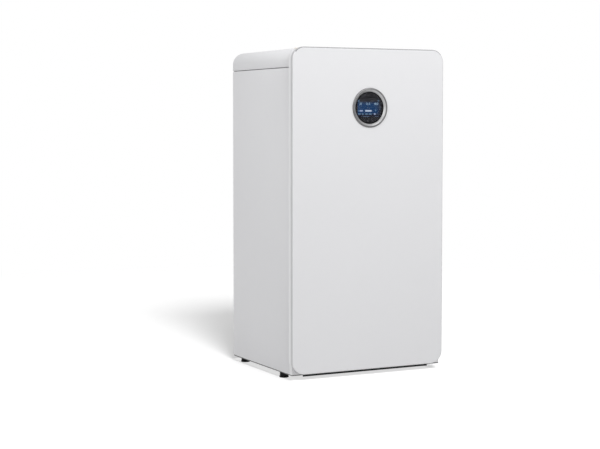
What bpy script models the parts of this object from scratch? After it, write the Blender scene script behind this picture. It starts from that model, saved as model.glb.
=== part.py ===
"""Ground source heat pump: an indoor brine-to-water cabinet with a pull-off front panel.

Metres, +Z up. The cabinet stands on Z = 0 with X and Y centred, and its front faces -Y.
"""

import math

import bmesh
import bpy
from mathutils import Matrix, Vector

# Cabinet
door_width = 0.600
door_height = 1.1215
door_depth = 0.016
door_corner = 0.045
door_edge = 0.003
door_flange = 0.024
door_to_rear = 0.540
foot_height = 0.0205
skirt_lift = 0.004
body_inset = 0.003
frame_depth = 0.020
frame_width = 0.028
cover_drop = 0.003
seam_drop = 0.0695
rear_corner = 0.050
rear_return = 0.030
panel_hem = 0.014
panel_sheet = 0.0015
cover_wall = 0.003
tray_sheet = 0.002
tray_wall = 0.040
shelf_from_top = 0.504
shelf_from_pumps = 0.038
shelf_flange = 0.020
gap = 0.0003
overrun = 0.010

# Front panel fixings and lining
stud_radius = 0.004
stud_length = 0.014
stud_inset = 0.014
stud_play = 0.0006
stud_from_end = 0.120
lining_play = 0.002

# Display
display_drop = 0.206
bezel_radius = 0.069
bezel_inner = 0.056
bezel_proud = 0.008
bezel_crest = 0.0065
bezel_wall = 0.003
bezel_lip = 0.0045
bezel_skirt = 0.003
skirt_depth = 0.005
glass_thick = 0.003
glass_recess = 0.002
screen_width = 0.093
screen_height = 0.066
screen_thick = 0.003
housing_radius = 0.0654
housing_wall = 0.002
housing_depth = 0.040
housing_play = 0.0008

# Levelling feet
foot_pad_radius = 0.0165
foot_pad_height = 0.006
foot_body_radius = 0.0150
foot_stem_radius = 0.005
foot_stem_rise = 0.034
front_foot_from_side = 0.021
rear_foot_from_side = 0.034
front_foot_setback = 0.116
rear_foot_setback = 0.071

# Compressor
compressor_share = -0.25
compressor_setback = 0.218
compressor_radius = 0.082
compressor_height_share = 0.623
compressor_dome = 0.036
compressor_seam = 0.003
compressor_band = 0.012
compressor_plate = 0.180
compressor_plate_thick = 0.004
mount_spacing = 0.150
mount_radius = 0.015
mount_waist = 0.011
mount_height = 0.022
mount_lip_share = 0.25
suction_rise = 0.240
suction_radius = 0.010
discharge_radius = 0.0065
discharge_offset = 0.040
stub_length = 0.022
terminal_width = 0.070
terminal_height = 0.100
terminal_depth = 0.034

# Plate heat exchangers
exchanger_width_share = 0.2
exchanger_height = 0.300
exchanger_depth = 0.090
exchanger_corner = 0.024
exchanger_floor = 0.062
exchanger_rear_room = 0.018
plate_pairs = 7
plate_step = 0.0025
end_plate = 0.006
port_spacing_share = 0.42
port_drop = 0.060
port_length = 0.020
evaporator_share = 0.29
condenser_share = 0.05
bracket_width = 0.080
bracket_sheet = 0.003
bracket_foot = 0.040

# Refrigerant line
liquid_radius = 0.005
drier_radius = 0.030
drier_length = 0.120
drier_neck = 0.010
drier_start_x = 0.055
drier_setback = 0.206
valve_radius = 0.012
valve_height = 0.046
valve_coil_radius = 0.021
valve_coil_height = 0.040
valve_neck_share = 0.8
discharge_from_ports = 0.046
suction_run_rise = 0.070
suction_lead = 0.031
suction_from_ports = 0.044
small_bend = 0.018
suction_bend = 0.028

# Water and brine pipes
pipe_radius = 0.014
pipe_bend = 0.026
pump_from_ports = 0.086
pump_from_shelf = 0.208
pump_span = 0.180
volute_radius = 0.055
volute_depth = 0.050
volute_wall = 0.008
pump_port_radius = 0.020
pump_nut_radius = 0.027
pump_nut_height = 0.022
motor_radius = 0.044
motor_length = 0.068
head_side = 0.092
head_depth = 0.030
rotor_radius = 0.020
rotor_length = 0.046
impeller_radius = 0.040
impeller_depth = 0.016
impeller_hub = 0.012
bearing_radius = 0.005
bearing_depth = 0.008
running_gap = 0.0015
riser_from_side = 0.040
riser_from_ports = 0.041
connection_setback = 0.049
upper_run_drop = 0.095
flow_lead = 0.060
pump_lead = 0.045
condenser_run_drop = 0.032
heater_share = -0.035
heater_from_rear = 0.124
heater_from_shelf = 0.048
heater_radius = 0.045
heater_height = 0.270
heater_dome = 0.016
heater_port = 0.020
heater_boss_radius = 0.024
heater_boss_length = 0.024
heater_cap_side = 0.056
heater_cap_depth = 0.030

# Connections on top
flow_share = -0.05
return_share = 0.075
brine_in_share = 0.225
brine_out_share = 0.345
coupling_radius = 0.0215
coupling_bore = 0.0141
coupling_height = 0.028
plate_margin = 0.018
plate_setback = 0.085
gland_radius = 0.013
gland_bore = 0.006
gland_neck = 0.009
gland_height = 0.022
gland_dome = 0.005

# Electrical box
box_left_room = 0.012
box_right_share = -0.025
box_height = 0.390
box_depth = 0.145
box_front_setback = 0.061
box_sheet = 0.0015
box_lid_depth = 0.010
breaker_width = 0.054
breaker_height = 0.045
breaker_depth = 0.066
breaker_nose = 0.007
breaker_from_left = 0.060
breaker_from_top = 0.070
window_play = 0.0005
rail_height = 0.035
rail_width = 0.100
rail_leg = 0.012
board_width = 0.130
board_height = 0.230
board_thick = 0.002
board_standoff = 0.012
board_from_right = 0.020
board_from_low = 0.040
chip_height = 0.018
relay_rows = 5
strip_share = 0.083
relay_share = 0.133
toggle_width = 0.040
toggle_hub = 0.006
toggle_length = 0.013
toggle_thick = 0.005
toggle_play = 0.0008
control_row_drop = 0.160
knob_radius = 0.016
knob_height = 0.014
knob_shaft = 0.005
knob_face_share = 0.85
knob_edge_share = 0.8
knob_from_left = 0.060
button_radius = 0.006
button_travel = 0.003
button_length = 0.016
button_from_left = 0.130

# Turns and facets
corner_steps = 5
bend_steps = 4
turn_steps = 24
fine_turn_steps = 36
small_turn_steps = 16
coarse_sides = 2
hex_sides = 6

# Places worked out from the sizes above
door_front = (bezel_proud - door_to_rear) / 2
door_rear = door_front + door_depth
body_rear = door_front + door_to_rear
frame_front = door_rear + gap
frame_rear = frame_front + frame_depth
panel_front = frame_rear + gap
body_half = door_width / 2 - body_inset
door_bottom = foot_height + skirt_lift
door_top = door_bottom + door_height
cover_top = door_top - cover_drop
seam_height = door_top - seam_drop
tray_floor = foot_height + tray_sheet
cover_edge = door_corner - body_inset
display_height = door_top - display_drop
shelf_height = door_top - shelf_from_top
inner_half = body_half - panel_sheet - gap
exchanger_rear = body_rear - exchanger_rear_room
exchanger_front = exchanger_rear - exchanger_depth
port_front = exchanger_front - port_length
port_low = tray_floor + exchanger_floor + port_drop / 2
port_high = port_low + exchanger_height - port_drop
exchanger_width = door_width * exchanger_width_share
port_spacing = exchanger_width * port_spacing_share
evaporator_x = door_width * evaporator_share
condenser_x = door_width * condenser_share
compressor_x = door_width * compressor_share
compressor_height = shelf_height * compressor_height_share
heater_x = door_width * heater_share
riser_x = inner_half - riser_from_side
box_right_x = door_width * box_right_share
flow_x = door_width * flow_share
return_x = door_width * return_share
brine_in_x = door_width * brine_in_share
brine_out_x = door_width * brine_out_share
pump_y = port_front - pump_from_ports
pump_height = shelf_height + pump_from_shelf
pump_top = pump_height + pump_span / 2
pump_bottom = pump_height - pump_span / 2
connection_y = body_rear - connection_setback
plate_under = cover_top - cover_wall - gap - panel_sheet
plate_top = plate_under + panel_sheet
upper_run_height = plate_under - upper_run_drop
lower_run_height = pump_top + pump_lead
gland_x = (return_x + brine_in_x) / 2


def clear_scene():
    for thing in list(bpy.data.objects):
        bpy.data.objects.remove(thing, do_unlink=True)


def new_collection(name):
    made = bpy.data.collections.new(name)
    bpy.context.scene.collection.children.link(made)
    return made


def material(name, color, roughness, metallic=0.0):
    made = bpy.data.materials.new(name)
    made.use_nodes = True
    shader = made.node_tree.nodes["Principled BSDF"]
    shader.inputs["Base Color"].default_value = (*color, 1.0)
    shader.inputs["Roughness"].default_value = roughness
    shader.inputs["Metallic"].default_value = metallic
    return made


def put(name, data, finish, home):
    """Links a new object into one of the two collections."""
    made = bpy.data.objects.new(name, data)
    home.objects.link(made)
    if finish:
        data.materials.append(finish)
    return made


def smooth(data, degrees=35):
    data.shade_smooth()
    data.set_sharp_from_angle(angle=math.radians(degrees))


def mesh_object(name, shape, finish, home):
    data = bpy.data.meshes.new(name)
    shape.to_mesh(data)
    shape.free()
    smooth(data)
    return put(name, data, finish, home)


def block(name, low, high, finish, home, rounding=0.0):
    """A box between two corners, its origin at its centre."""
    low, high = Vector(low), Vector(high)
    shape = bmesh.new()
    bmesh.ops.create_cube(shape, size=1.0, matrix=Matrix.Diagonal((*(high - low), 1.0)))
    made = mesh_object(name, shape, finish, home)
    made.location = (low + high) / 2
    if rounding:
        edge = made.modifiers.new("edges", "BEVEL")
        edge.width = rounding
        edge.segments = 2
        edge.limit_method = "ANGLE"
    return made


def rod(name, start, end, radius, finish, home, sides=small_turn_steps):
    """A cylinder from one point to another; round ones have a flat towards each axis."""
    start, end = Vector(start), Vector(end)
    along = end - start
    shape = bmesh.new()
    bmesh.ops.create_cone(
        shape,
        cap_ends=True,
        segments=sides,
        radius1=radius,
        radius2=radius,
        depth=along.length,
    )
    made = mesh_object(name, shape, finish, home)
    made.location = (start + end) / 2
    made.rotation_euler = along.to_track_quat("Z", "Y").to_euler()
    if sides > hex_sides:
        made.rotation_euler.rotate_axis("Z", math.pi / sides)
    return made


def turned(name, profile, place, finish, home, steps=turn_steps, facing="up", closed=False):
    """A profile of (radius, height) points, top to bottom down the outer side, turned about its axis."""
    data = bpy.data.meshes.new(name)
    points = [(radius, 0.0, height) for radius, height in profile]
    edges = [(i, i + 1) for i in range(len(points) - 1)]
    if closed:
        edges.append((len(points) - 1, 0))
    data.from_pydata(points, edges, [])
    made = put(name, data, finish, home)
    made.location = place
    made.rotation_euler = {"up": (0, 0, 0), "front": (math.pi / 2, 0, 0)}[facing]
    screw = made.modifiers.new("turn", "SCREW")
    screw.angle = 2 * math.pi
    screw.steps = steps
    screw.render_steps = steps
    screw.use_merge_vertices = True
    screw.merge_threshold = gap / 30
    screw.use_smooth_shade = True
    return made


def arc(centre, radius, start, end, steps):
    """Points of an arc in a plane, both ends included, with its angles in degrees."""
    turn = (end - start) / steps
    angles = [math.radians(start + turn * i) for i in range(steps + 1)]
    return [(centre[0] + radius * math.cos(a), centre[1] + radius * math.sin(a)) for a in angles]


def rounded_rectangle(half_width, low, high, radius, steps=corner_steps):
    """Counter-clockwise outline with four equal corners, starting at the lower left one."""
    left, right = radius - half_width, half_width - radius
    points = arc((left, low + radius), radius, 180, 270, steps)
    points += arc((right, low + radius), radius, 270, 360, steps)
    points += arc((right, high - radius), radius, 0, 90, steps)
    points += arc((left, high - radius), radius, 90, 180, steps)
    return points


def plan_outline(inset, front=panel_front):
    """The body seen from above: square in front, round at the back, from front left to front right."""
    half = body_half - inset
    radius = rear_corner - inset
    rear = body_rear - inset - radius
    points = [(-half, front)]
    points += arc((radius - half, rear), radius, 180, 90, corner_steps)
    points += arc((half - radius, rear), radius, 90, 0, corner_steps)
    points.append((half, front))
    return points


def skin(name, rings, finish, home, wall=0.0, first_cap=True, last_cap=False, open_side=False):
    """Walls between rings of 3-D points, thickened inwards where a wall is given."""
    shape = bmesh.new()
    rows = [[shape.verts.new(point) for point in ring] for ring in rings]
    count = len(rings[0])
    last_side = count - 1 if open_side else count
    for lower, upper in zip(rows, rows[1:]):
        for i in range(last_side):
            j = (i + 1) % count
            shape.faces.new((lower[i], lower[j], upper[j], upper[i]))
    if first_cap:
        shape.faces.new(rows[0])
    if last_cap:
        shape.faces.new(rows[-1])
    bmesh.ops.recalc_face_normals(shape, faces=shape.faces)
    made = mesh_object(name, shape, finish, home)
    if wall:
        thicken(made, wall)
    return made


def thicken(made, wall):
    shell = made.modifiers.new("wall", "SOLIDIFY")
    shell.thickness = wall
    shell.offset = -1.0
    shell.use_even_offset = True


def folded_sheet(name, outline, low, high, wall, finish, home, along="z"):
    """A sheet folded along an open outline and run between two stations; it thickens to its left."""
    shape = bmesh.new()
    rows = []
    for station in (low, high):
        if along == "z":
            row = [shape.verts.new((u, v, station)) for u, v in outline]
        else:
            row = [shape.verts.new((station, u, v)) for u, v in outline]
        rows.append(row)
    for i in range(len(outline) - 1):
        shape.faces.new((rows[0][i], rows[0][i + 1], rows[1][i + 1], rows[1][i]))
    made = mesh_object(name, shape, finish, home)
    thicken(made, wall)
    return made


def slab(name, outlines, front, back, finish, home):
    """A flat piece in the XZ plane: the first outline is its edge and the others its holes."""
    curve = bpy.data.curves.new(name, "CURVE")
    curve.dimensions = "2D"
    curve.fill_mode = "BOTH"
    curve.extrude = (back - front) / 2
    for outline in outlines:
        spline = curve.splines.new("POLY")
        spline.points.add(len(outline) - 1)
        for point, (x, z) in zip(spline.points, outline):
            point.co = (x, z, 0.0, 1.0)
        spline.use_cyclic_u = True
    made = put(name, curve, finish, home)
    made.location = (0.0, (front + back) / 2, 0.0)
    made.rotation_euler = (math.pi / 2, 0.0, 0.0)
    return made


def bent_route(corners, bend):
    """The corners of a pipe's centre line with each one rounded to the bend's radius."""
    corners = [Vector(corner) for corner in corners]
    route = [corners[0]]
    for before, corner, after in zip(corners, corners[1:], corners[2:]):
        inward = (before - corner).normalized()
        outward = (after - corner).normalized()
        half_turn = inward.angle(outward) / 2
        setback = bend / math.tan(half_turn)
        middle = (inward + outward).normalized()
        centre = corner + middle * bend / math.sin(half_turn)
        start = corner + inward * setback - centre
        end = corner + outward * setback - centre
        sweep = start.angle(end)
        for i in range(bend_steps + 1):
            share = i / bend_steps
            mix = start * math.sin((1 - share) * sweep) + end * math.sin(share * sweep)
            route.append(centre + mix / math.sin(sweep))
    route.append(corners[-1])
    return route


def pipe(name, corners, radius, bend, finish, home, sides=coarse_sides):
    curve = bpy.data.curves.new(name, "CURVE")
    curve.dimensions = "3D"
    curve.bevel_depth = radius
    curve.bevel_resolution = sides
    curve.use_fill_caps = True
    route = bent_route(corners, bend)
    spline = curve.splines.new("POLY")
    spline.points.add(len(route) - 1)
    for point, place in zip(spline.points, route):
        point.co = (*place, 1.0)
    return put(name, curve, finish, home)


def boolean(target, tool, operation):
    tool.hide_render = True
    tool.display_type = "WIRE"
    step = target.modifiers.new(tool.name, "BOOLEAN")
    step.operation = operation
    step.object = tool


def cut(target, tool):
    boolean(target, tool, "DIFFERENCE")


def join(target, tool):
    boolean(target, tool, "UNION")


def plane_ring(outline, y):
    return [(x, y, z) for x, z in outline]


def level_ring(outline, z):
    return [(x, y, z) for x, y in outline]


def door_outline(inset):
    return rounded_rectangle(door_width / 2 - inset, door_bottom + inset, door_top - inset, door_corner - inset)


def stud_places():
    """The four snap studs, at the panel's rear flange, in (x, z)."""
    side = door_width / 2 - stud_inset
    heights = (door_bottom + stud_from_end, door_top - stud_from_end)
    return [(x, z) for x in (-side, side) for z in heights]


def make_front_panel(parts, tools, paint, foam):
    rings = []
    for i in range(3):
        turn = math.radians(45 * i)
        inset = door_edge * (1 - math.sin(turn))
        rings.append(plane_ring(door_outline(inset), door_front + door_edge * (1 - math.cos(turn))))
    rings.append(plane_ring(door_outline(0.0), door_rear))
    rings.append(plane_ring(door_outline(door_flange), door_rear))
    panel = skin("front_panel", rings, paint, parts, wall=panel_sheet)
    hole_start = (0.0, door_front - overrun, display_height)
    hole_end = (0.0, door_rear + overrun, display_height)
    hole = rod("display_hole", hole_start, hole_end, housing_radius + housing_play, None, tools, turn_steps)
    cut(panel, hole)
    for number, (x, z) in enumerate(stud_places()):
        start = (x, door_rear - panel_sheet / 2, z)
        end = (x, door_rear + stud_length, z)
        join(panel, rod(f"panel_stud_{number}", start, end, stud_radius, None, tools, small_turn_steps))
    edge = door_outline(door_edge + panel_sheet / 2)
    eye = arc((0.0, display_height), housing_radius + lining_play, 0, 360, turn_steps)[:-1]
    front = door_front + panel_sheet + gap
    back = door_rear - panel_sheet - gap
    slab("front_panel_insulation", [edge, eye], front, back, foam, parts)


def make_display(parts, metal, glass, screen, plastic):
    face = (0.0, door_front, display_height)
    crest = bezel_radius - bezel_crest
    rise = bezel_proud - bezel_wall
    shoulder = [(crest + bezel_crest * math.sin(a), bezel_wall + rise * math.cos(a))
                for a in (math.radians(step) for step in (0, 45, 90))]
    slope = [(bezel_inner, bezel_lip), ((bezel_inner + crest) / 2, bezel_proud - bezel_wall / 3)]
    skirt = bezel_inner + bezel_skirt
    rear = [(bezel_radius, gap), (skirt, gap), (skirt, -skirt_depth), (bezel_inner, -skirt_depth)]
    profile = slope + shoulder + rear
    turned("display_bezel", profile, face, metal, parts, fine_turn_steps, "front", True)
    rim = bezel_inner - gap
    front = -glass_recess
    back = front - glass_thick
    disc = [(0.0, front), (rim, front), (rim, back), (0.0, back)]
    turned("display_glass", disc, face, glass, parts, fine_turn_steps, "front")
    half_width, half_height = screen_width / 2, screen_height / 2
    screen_front = door_front - back + gap
    low = (-half_width, screen_front, display_height - half_height)
    high = (half_width, screen_front + screen_thick, display_height + half_height)
    block("display_screen", low, high, screen, parts)
    inner = housing_radius - housing_wall
    floor = housing_wall - housing_depth
    cup = [
        (0.0, floor),
        (inner, floor),
        (inner, -gap),
        (housing_radius, -gap),
        (housing_radius, -housing_depth),
        (0.0, -housing_depth),
    ]
    turned("display_housing", cup, face, plastic, parts, turn_steps, "front")


def make_frame(parts, tools, paint):
    outer, inner = body_half, body_half - frame_width
    inner_radius = cover_edge - frame_width
    top_inner = cover_top - frame_width
    outline = [(-outer, seam_height)]
    outline += arc((cover_edge - outer, cover_top - cover_edge), cover_edge, 180, 90, corner_steps)
    outline += arc((outer - cover_edge, cover_top - cover_edge), cover_edge, 90, 0, corner_steps)
    outline += [(outer, seam_height), (inner, seam_height)]
    outline += arc((inner - inner_radius, top_inner - inner_radius), inner_radius, 0, 90, corner_steps)
    outline += arc((inner_radius - inner, top_inner - inner_radius), inner_radius, 90, 180, corner_steps)
    outline.append((-inner, seam_height))
    slab("frame_top_rail", [outline], frame_front, frame_rear, paint, parts)
    for name, side in (("frame_left_post", -1), ("frame_right_post", 1)):
        low = (min(side * inner, side * outer), frame_front, foot_height + tray_wall + gap)
        high = (max(side * inner, side * outer), frame_rear, seam_height - gap)
        post = block(name, low, high, paint, parts)
        for number, (x, z) in enumerate(stud_places()):
            if x * side < 0:
                continue
            start = (x, frame_front - overrun, z)
            end = (x, frame_front + stud_length + overrun / 4, z)
            cut(post, rod(f"{name}_socket_{number}", start, end, stud_radius + stud_play, None, tools))


def make_panels(parts, paint, bare):
    for name, side in (("left_side_panel", -1), ("right_side_panel", 1)):
        corner_centre = (body_half - rear_corner, body_rear - rear_corner)
        outline = [(body_half, panel_front)]
        outline += arc(corner_centre, rear_corner, 0, 90, corner_steps)
        outline.append((body_half - rear_corner - rear_return, body_rear))
        if side < 0:
            outline = [(-x, y) for x, y in reversed(outline)]
        folded_sheet(name, outline, door_bottom, seam_height - gap, panel_sheet, paint, parts)
    half = body_half - rear_corner - rear_return - gap
    hem = body_rear - panel_hem
    outline = [(half, hem), (half, body_rear), (-half, body_rear), (-half, hem)]
    low = foot_height + tray_wall + gap
    folded_sheet("back_panel", outline, low, seam_height - gap, panel_sheet, bare, parts)


def notch_span():
    """Left and right edges of the cover's notch for the connection plate."""
    left = flow_x - coupling_radius - plate_margin
    right = brine_out_x + coupling_radius + plate_margin
    return left, right


def make_cover(parts, tools, paint, bare):
    rings = [level_ring(plan_outline(0.0), seam_height)]
    for i in range(corner_steps + 1):
        turn = math.radians(90 * i / corner_steps)
        inset = cover_edge * (1 - math.cos(turn))
        rings.append(level_ring(plan_outline(inset), cover_top - cover_edge * (1 - math.sin(turn))))
    rings.reverse()
    cover = skin("top_cover", rings, paint, parts, wall=cover_wall, open_side=True)
    left, right = notch_span()
    low = (left, body_rear - plate_setback, seam_height - overrun)
    high = (right, body_rear + overrun, cover_top + overrun)
    cut(cover, block("cover_notch", low, high, None, tools))
    outline = [
        (body_rear - plate_setback + gap, plate_top),
        (body_rear, plate_top),
        (body_rear, seam_height),
    ]
    plate = folded_sheet("connection_plate", outline, right - gap, left + gap, panel_sheet, bare, parts, "x")
    for number, x in enumerate((flow_x, return_x, brine_in_x, brine_out_x)):
        start = (x, connection_y, plate_under - overrun)
        end = (x, connection_y, plate_top + overrun)
        cut(plate, rod(f"pipe_hole_{number}", start, end, pipe_radius + stud_play, None, tools))
    start, end = (gland_x, connection_y, plate_under - overrun), (gland_x, connection_y, plate_top + overrun)
    cut(plate, rod("gland_hole", start, end, gland_neck + stud_play, None, tools))


def make_base(parts, tools, steel, black):
    outline = plan_outline(panel_sheet + gap, frame_front)
    rings = [level_ring(outline, foot_height), level_ring(outline, foot_height + tray_wall)]
    tray = skin("base_tray", rings, steel, parts, wall=tray_sheet)
    front_x, rear_x = body_half - front_foot_from_side, body_half - rear_foot_from_side
    places = {
        "foot_front_left": (-front_x, door_front + front_foot_setback),
        "foot_front_right": (front_x, door_front + front_foot_setback),
        "foot_rear_left": (-rear_x, body_rear - rear_foot_setback),
        "foot_rear_right": (rear_x, body_rear - rear_foot_setback),
    }
    shoulder = foot_height - gap
    profile = [
        (0.0, foot_height + foot_stem_rise),
        (foot_stem_radius, foot_height + foot_stem_rise),
        (foot_stem_radius, shoulder),
        (foot_body_radius, shoulder),
        (foot_body_radius, foot_pad_height),
        (foot_pad_radius, foot_pad_height - foot_pad_height / 4),
        (foot_pad_radius, foot_pad_height / 8),
        (foot_pad_radius - foot_pad_height / 8, 0.0),
        (0.0, 0.0),
    ]
    for name, (x, y) in places.items():
        start = (x, y, foot_height - overrun)
        end = (x, y, foot_height + overrun)
        cut(tray, rod(f"{name}_hole", start, end, foot_stem_radius + stud_play, None, tools))
        turned(name, profile, (x, y, 0.0), black, parts, small_turn_steps)


def make_shelf(parts, steel):
    front = panel_front + panel_sheet + gap
    back = pump_y - shelf_from_pumps
    low = shelf_height - shelf_flange
    outline = [(front, low), (front, shelf_height), (back, shelf_height), (back, low)]
    folded_sheet("divider_shelf", outline, inner_half, -inner_half, panel_sheet, steel, parts, "x")


def make_compressor(parts, tools, black, rubber):
    x, y = compressor_x, door_front + compressor_setback
    plate_low = tray_floor + gap + mount_height + gap
    plate_high = plate_low + compressor_plate_thick
    bottom = plate_high - compressor_plate_thick / 2
    top = bottom + compressor_height
    radius, dome = compressor_radius, compressor_dome
    crown = [(radius * math.sin(a), top - dome + dome * math.cos(a))
             for a in (math.radians(step) for step in (0, 22.5, 45, 67.5, 90))]
    base = [(radius * math.cos(a), bottom + dome - dome * math.sin(a))
            for a in (math.radians(step) for step in (0, 45))]
    seam = compressor_seam
    band = [
        (radius + seam, top - dome - seam),
        (radius + seam, top - dome - compressor_band),
        (radius, top - dome - compressor_band),
        (radius, bottom + dome + compressor_band),
        (radius + seam, bottom + dome + compressor_band),
        (radius + seam, bottom + dome + seam),
    ]
    profile = crown + band + base + [(0.0, bottom)]
    shell = turned("compressor", profile, (x, y, 0.0), black, parts, turn_steps)
    half = compressor_plate / 2
    low = (x - half, y - half, plate_low)
    high = (x + half, y + half, plate_high)
    join(shell, block("compressor_foot_plate", low, high, None, tools))
    start = (x + radius - overrun, y, bottom + suction_rise)
    end = (x + radius + stub_length, y, bottom + suction_rise)
    join(shell, rod("suction_stub", start, end, suction_radius + seam / 2, None, tools, small_turn_steps))
    start = (x + discharge_offset, y, top - dome)
    end = (x + discharge_offset, y, top + stub_length / 2)
    join(shell, rod("discharge_stub", start, end, discharge_radius + seam / 2, None, tools, small_turn_steps))
    low = (x - terminal_width / 2, y - radius - terminal_depth, bottom + compressor_height / 2)
    high = (x + terminal_width / 2, y - radius + seam, low[2] + terminal_height)
    cover = block("compressor_terminal_cover", low, high, black, parts)
    start, end = (x, y, low[2] - overrun), (x, y, high[2] + overrun)
    cut(cover, rod("terminal_seat", start, end, radius + 2 * gap, None, tools, 2 * turn_steps))
    waist = [
        (0.0, mount_height),
        (mount_radius, mount_height),
        (mount_radius, mount_height * (1 - mount_lip_share)),
        (mount_waist, mount_height / 2),
        (mount_radius, mount_height * mount_lip_share),
        (mount_radius, 0.0),
        (0.0, 0.0),
    ]
    for number, (side, end) in enumerate(((-1, -1), (1, -1), (-1, 1), (1, 1)), start=1):
        place = (x + side * mount_spacing / 2, y + end * mount_spacing / 2, tray_floor + gap)
        turned(f"compressor_mount_{number}", waist, place, rubber, parts, small_turn_steps)
    return x, y, bottom, top


def make_exchanger(name, x, parts, tools, steel):
    low = tray_floor + exchanger_floor
    high = low + exchanger_height
    half = exchanger_width / 2

    def ring(inset, y):
        outline = rounded_rectangle(half - inset, low + inset, high - inset, exchanger_corner - inset, bend_steps // 2)
        return [(x + u, y, v) for u, v in outline]

    front, back = exchanger_front + end_plate, exchanger_rear - end_plate
    rings = [ring(0.0, exchanger_front), ring(0.0, front)]
    pitch = (back - front) / plate_pairs
    for number in range(plate_pairs):
        start = front + number * pitch
        rings.append(ring(plate_step, start + pitch / 4))
        if number < plate_pairs - 1:
            rings.append(ring(0.0, start + pitch))
    rings += [ring(0.0, back), ring(0.0, exchanger_rear)]
    stack = skin(name, rings, steel, parts, last_cap=True)
    for number, (side, z) in enumerate(((-1, port_low), (1, port_low), (-1, port_high), (1, port_high))):
        centre = x + side * port_spacing / 2
        start = (centre, exchanger_front + end_plate / 2, z)
        end = (centre, port_front, z)
        join(stack, rod(f"{name}_port_{number}", start, end, pipe_radius + port_length / 10, None, tools))
    low_corner = (x - bracket_width / 2, exchanger_rear - end_plate / 2, tray_floor + gap)
    high_corner = (x + bracket_width / 2, exchanger_rear + bracket_sheet, low + exchanger_height / 3)
    join(stack, block(f"{name}_bracket", low_corner, high_corner, None, tools))
    low_corner = (x - bracket_width / 2, exchanger_rear - bracket_foot, tray_floor + gap)
    high_corner = (x + bracket_width / 2, exchanger_rear, tray_floor + gap + bracket_sheet)
    join(stack, block(f"{name}_bracket_foot", low_corner, high_corner, None, tools))


def make_refrigerant_line(parts, tools, copper, metal, brass, compressor):
    x, y, bottom, top = compressor
    left_port = condenser_x - port_spacing / 2
    drop_y = port_front - discharge_from_ports
    run_height = (top + shelf_height) / 2
    start = (x + discharge_offset, y, top + stub_length / 2 + gap)
    corners = [
        start,
        (start[0], y, run_height),
        (start[0], drop_y, run_height),
        (left_port, drop_y, run_height),
        (left_port, drop_y, port_high),
        (left_port, port_front - gap, port_high),
    ]
    pipe("discharge_pipe", corners, discharge_radius, small_bend, copper, parts)
    right_port = evaporator_x - port_spacing / 2
    turn_y = port_front - suction_from_ports
    suction_z = bottom + suction_rise
    stub_end = x + compressor_radius + stub_length
    run_height = port_high + suction_run_rise
    corners = [
        (right_port, port_front - gap, port_high),
        (right_port, turn_y, port_high),
        (right_port, turn_y, run_height),
        (right_port, y, run_height),
        (stub_end + suction_lead, y, run_height),
        (stub_end + suction_lead, y, suction_z),
        (stub_end + gap, y, suction_z),
    ]
    pipe("suction_pipe", corners, suction_radius, suction_bend, copper, parts)
    drier_y = door_front + drier_setback
    corners = [
        (left_port, port_front - gap, port_low),
        (left_port, drier_y, port_low),
        (drier_start_x - gap, drier_y, port_low),
    ]
    pipe("liquid_pipe", corners, liquid_radius, small_bend, copper, parts)
    neck = liquid_radius + liquid_radius / 2
    profile = [
        (0.0, 0.0),
        (neck, 0.0),
        (neck, -drier_neck),
        (drier_radius, -2 * drier_neck),
        (drier_radius, 2 * drier_neck - drier_length),
        (neck, drier_neck - drier_length),
        (neck, -drier_length),
        (0.0, -drier_length),
    ]
    drier = turned("filter_drier", profile, (drier_start_x, drier_y, port_low), metal, parts, turn_steps)
    drier.rotation_euler = (0.0, -math.pi / 2, 0.0)
    valve_x = drier_start_x + drier_length + gap + valve_radius
    height = valve_height
    profile = [
        (0.0, height + valve_coil_height),
        (valve_coil_radius, height + valve_coil_height),
        (valve_coil_radius, height),
        (valve_radius * valve_neck_share, height),
        (valve_radius * valve_neck_share, height / 2),
        (valve_radius, height / 2),
        (valve_radius, -height / 4),
        (0.0, -height / 4),
    ]
    valve = turned("expansion_valve", profile, (valve_x, drier_y, port_low), brass, parts, turn_steps)
    outlet_y = drier_y + valve_radius + stub_length
    start, end = (valve_x, drier_y, port_low), (valve_x, outlet_y, port_low)
    join(valve, rod("valve_outlet", start, end, neck, None, tools, small_turn_steps))
    turn_y = (outlet_y + port_front) / 2
    corners = [
        (valve_x, outlet_y + gap, port_low),
        (valve_x, turn_y, port_low),
        (right_port, turn_y, port_low),
        (right_port, port_front - gap, port_low),
    ]
    pipe("injection_pipe", corners, liquid_radius, small_bend, copper, parts)


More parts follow.
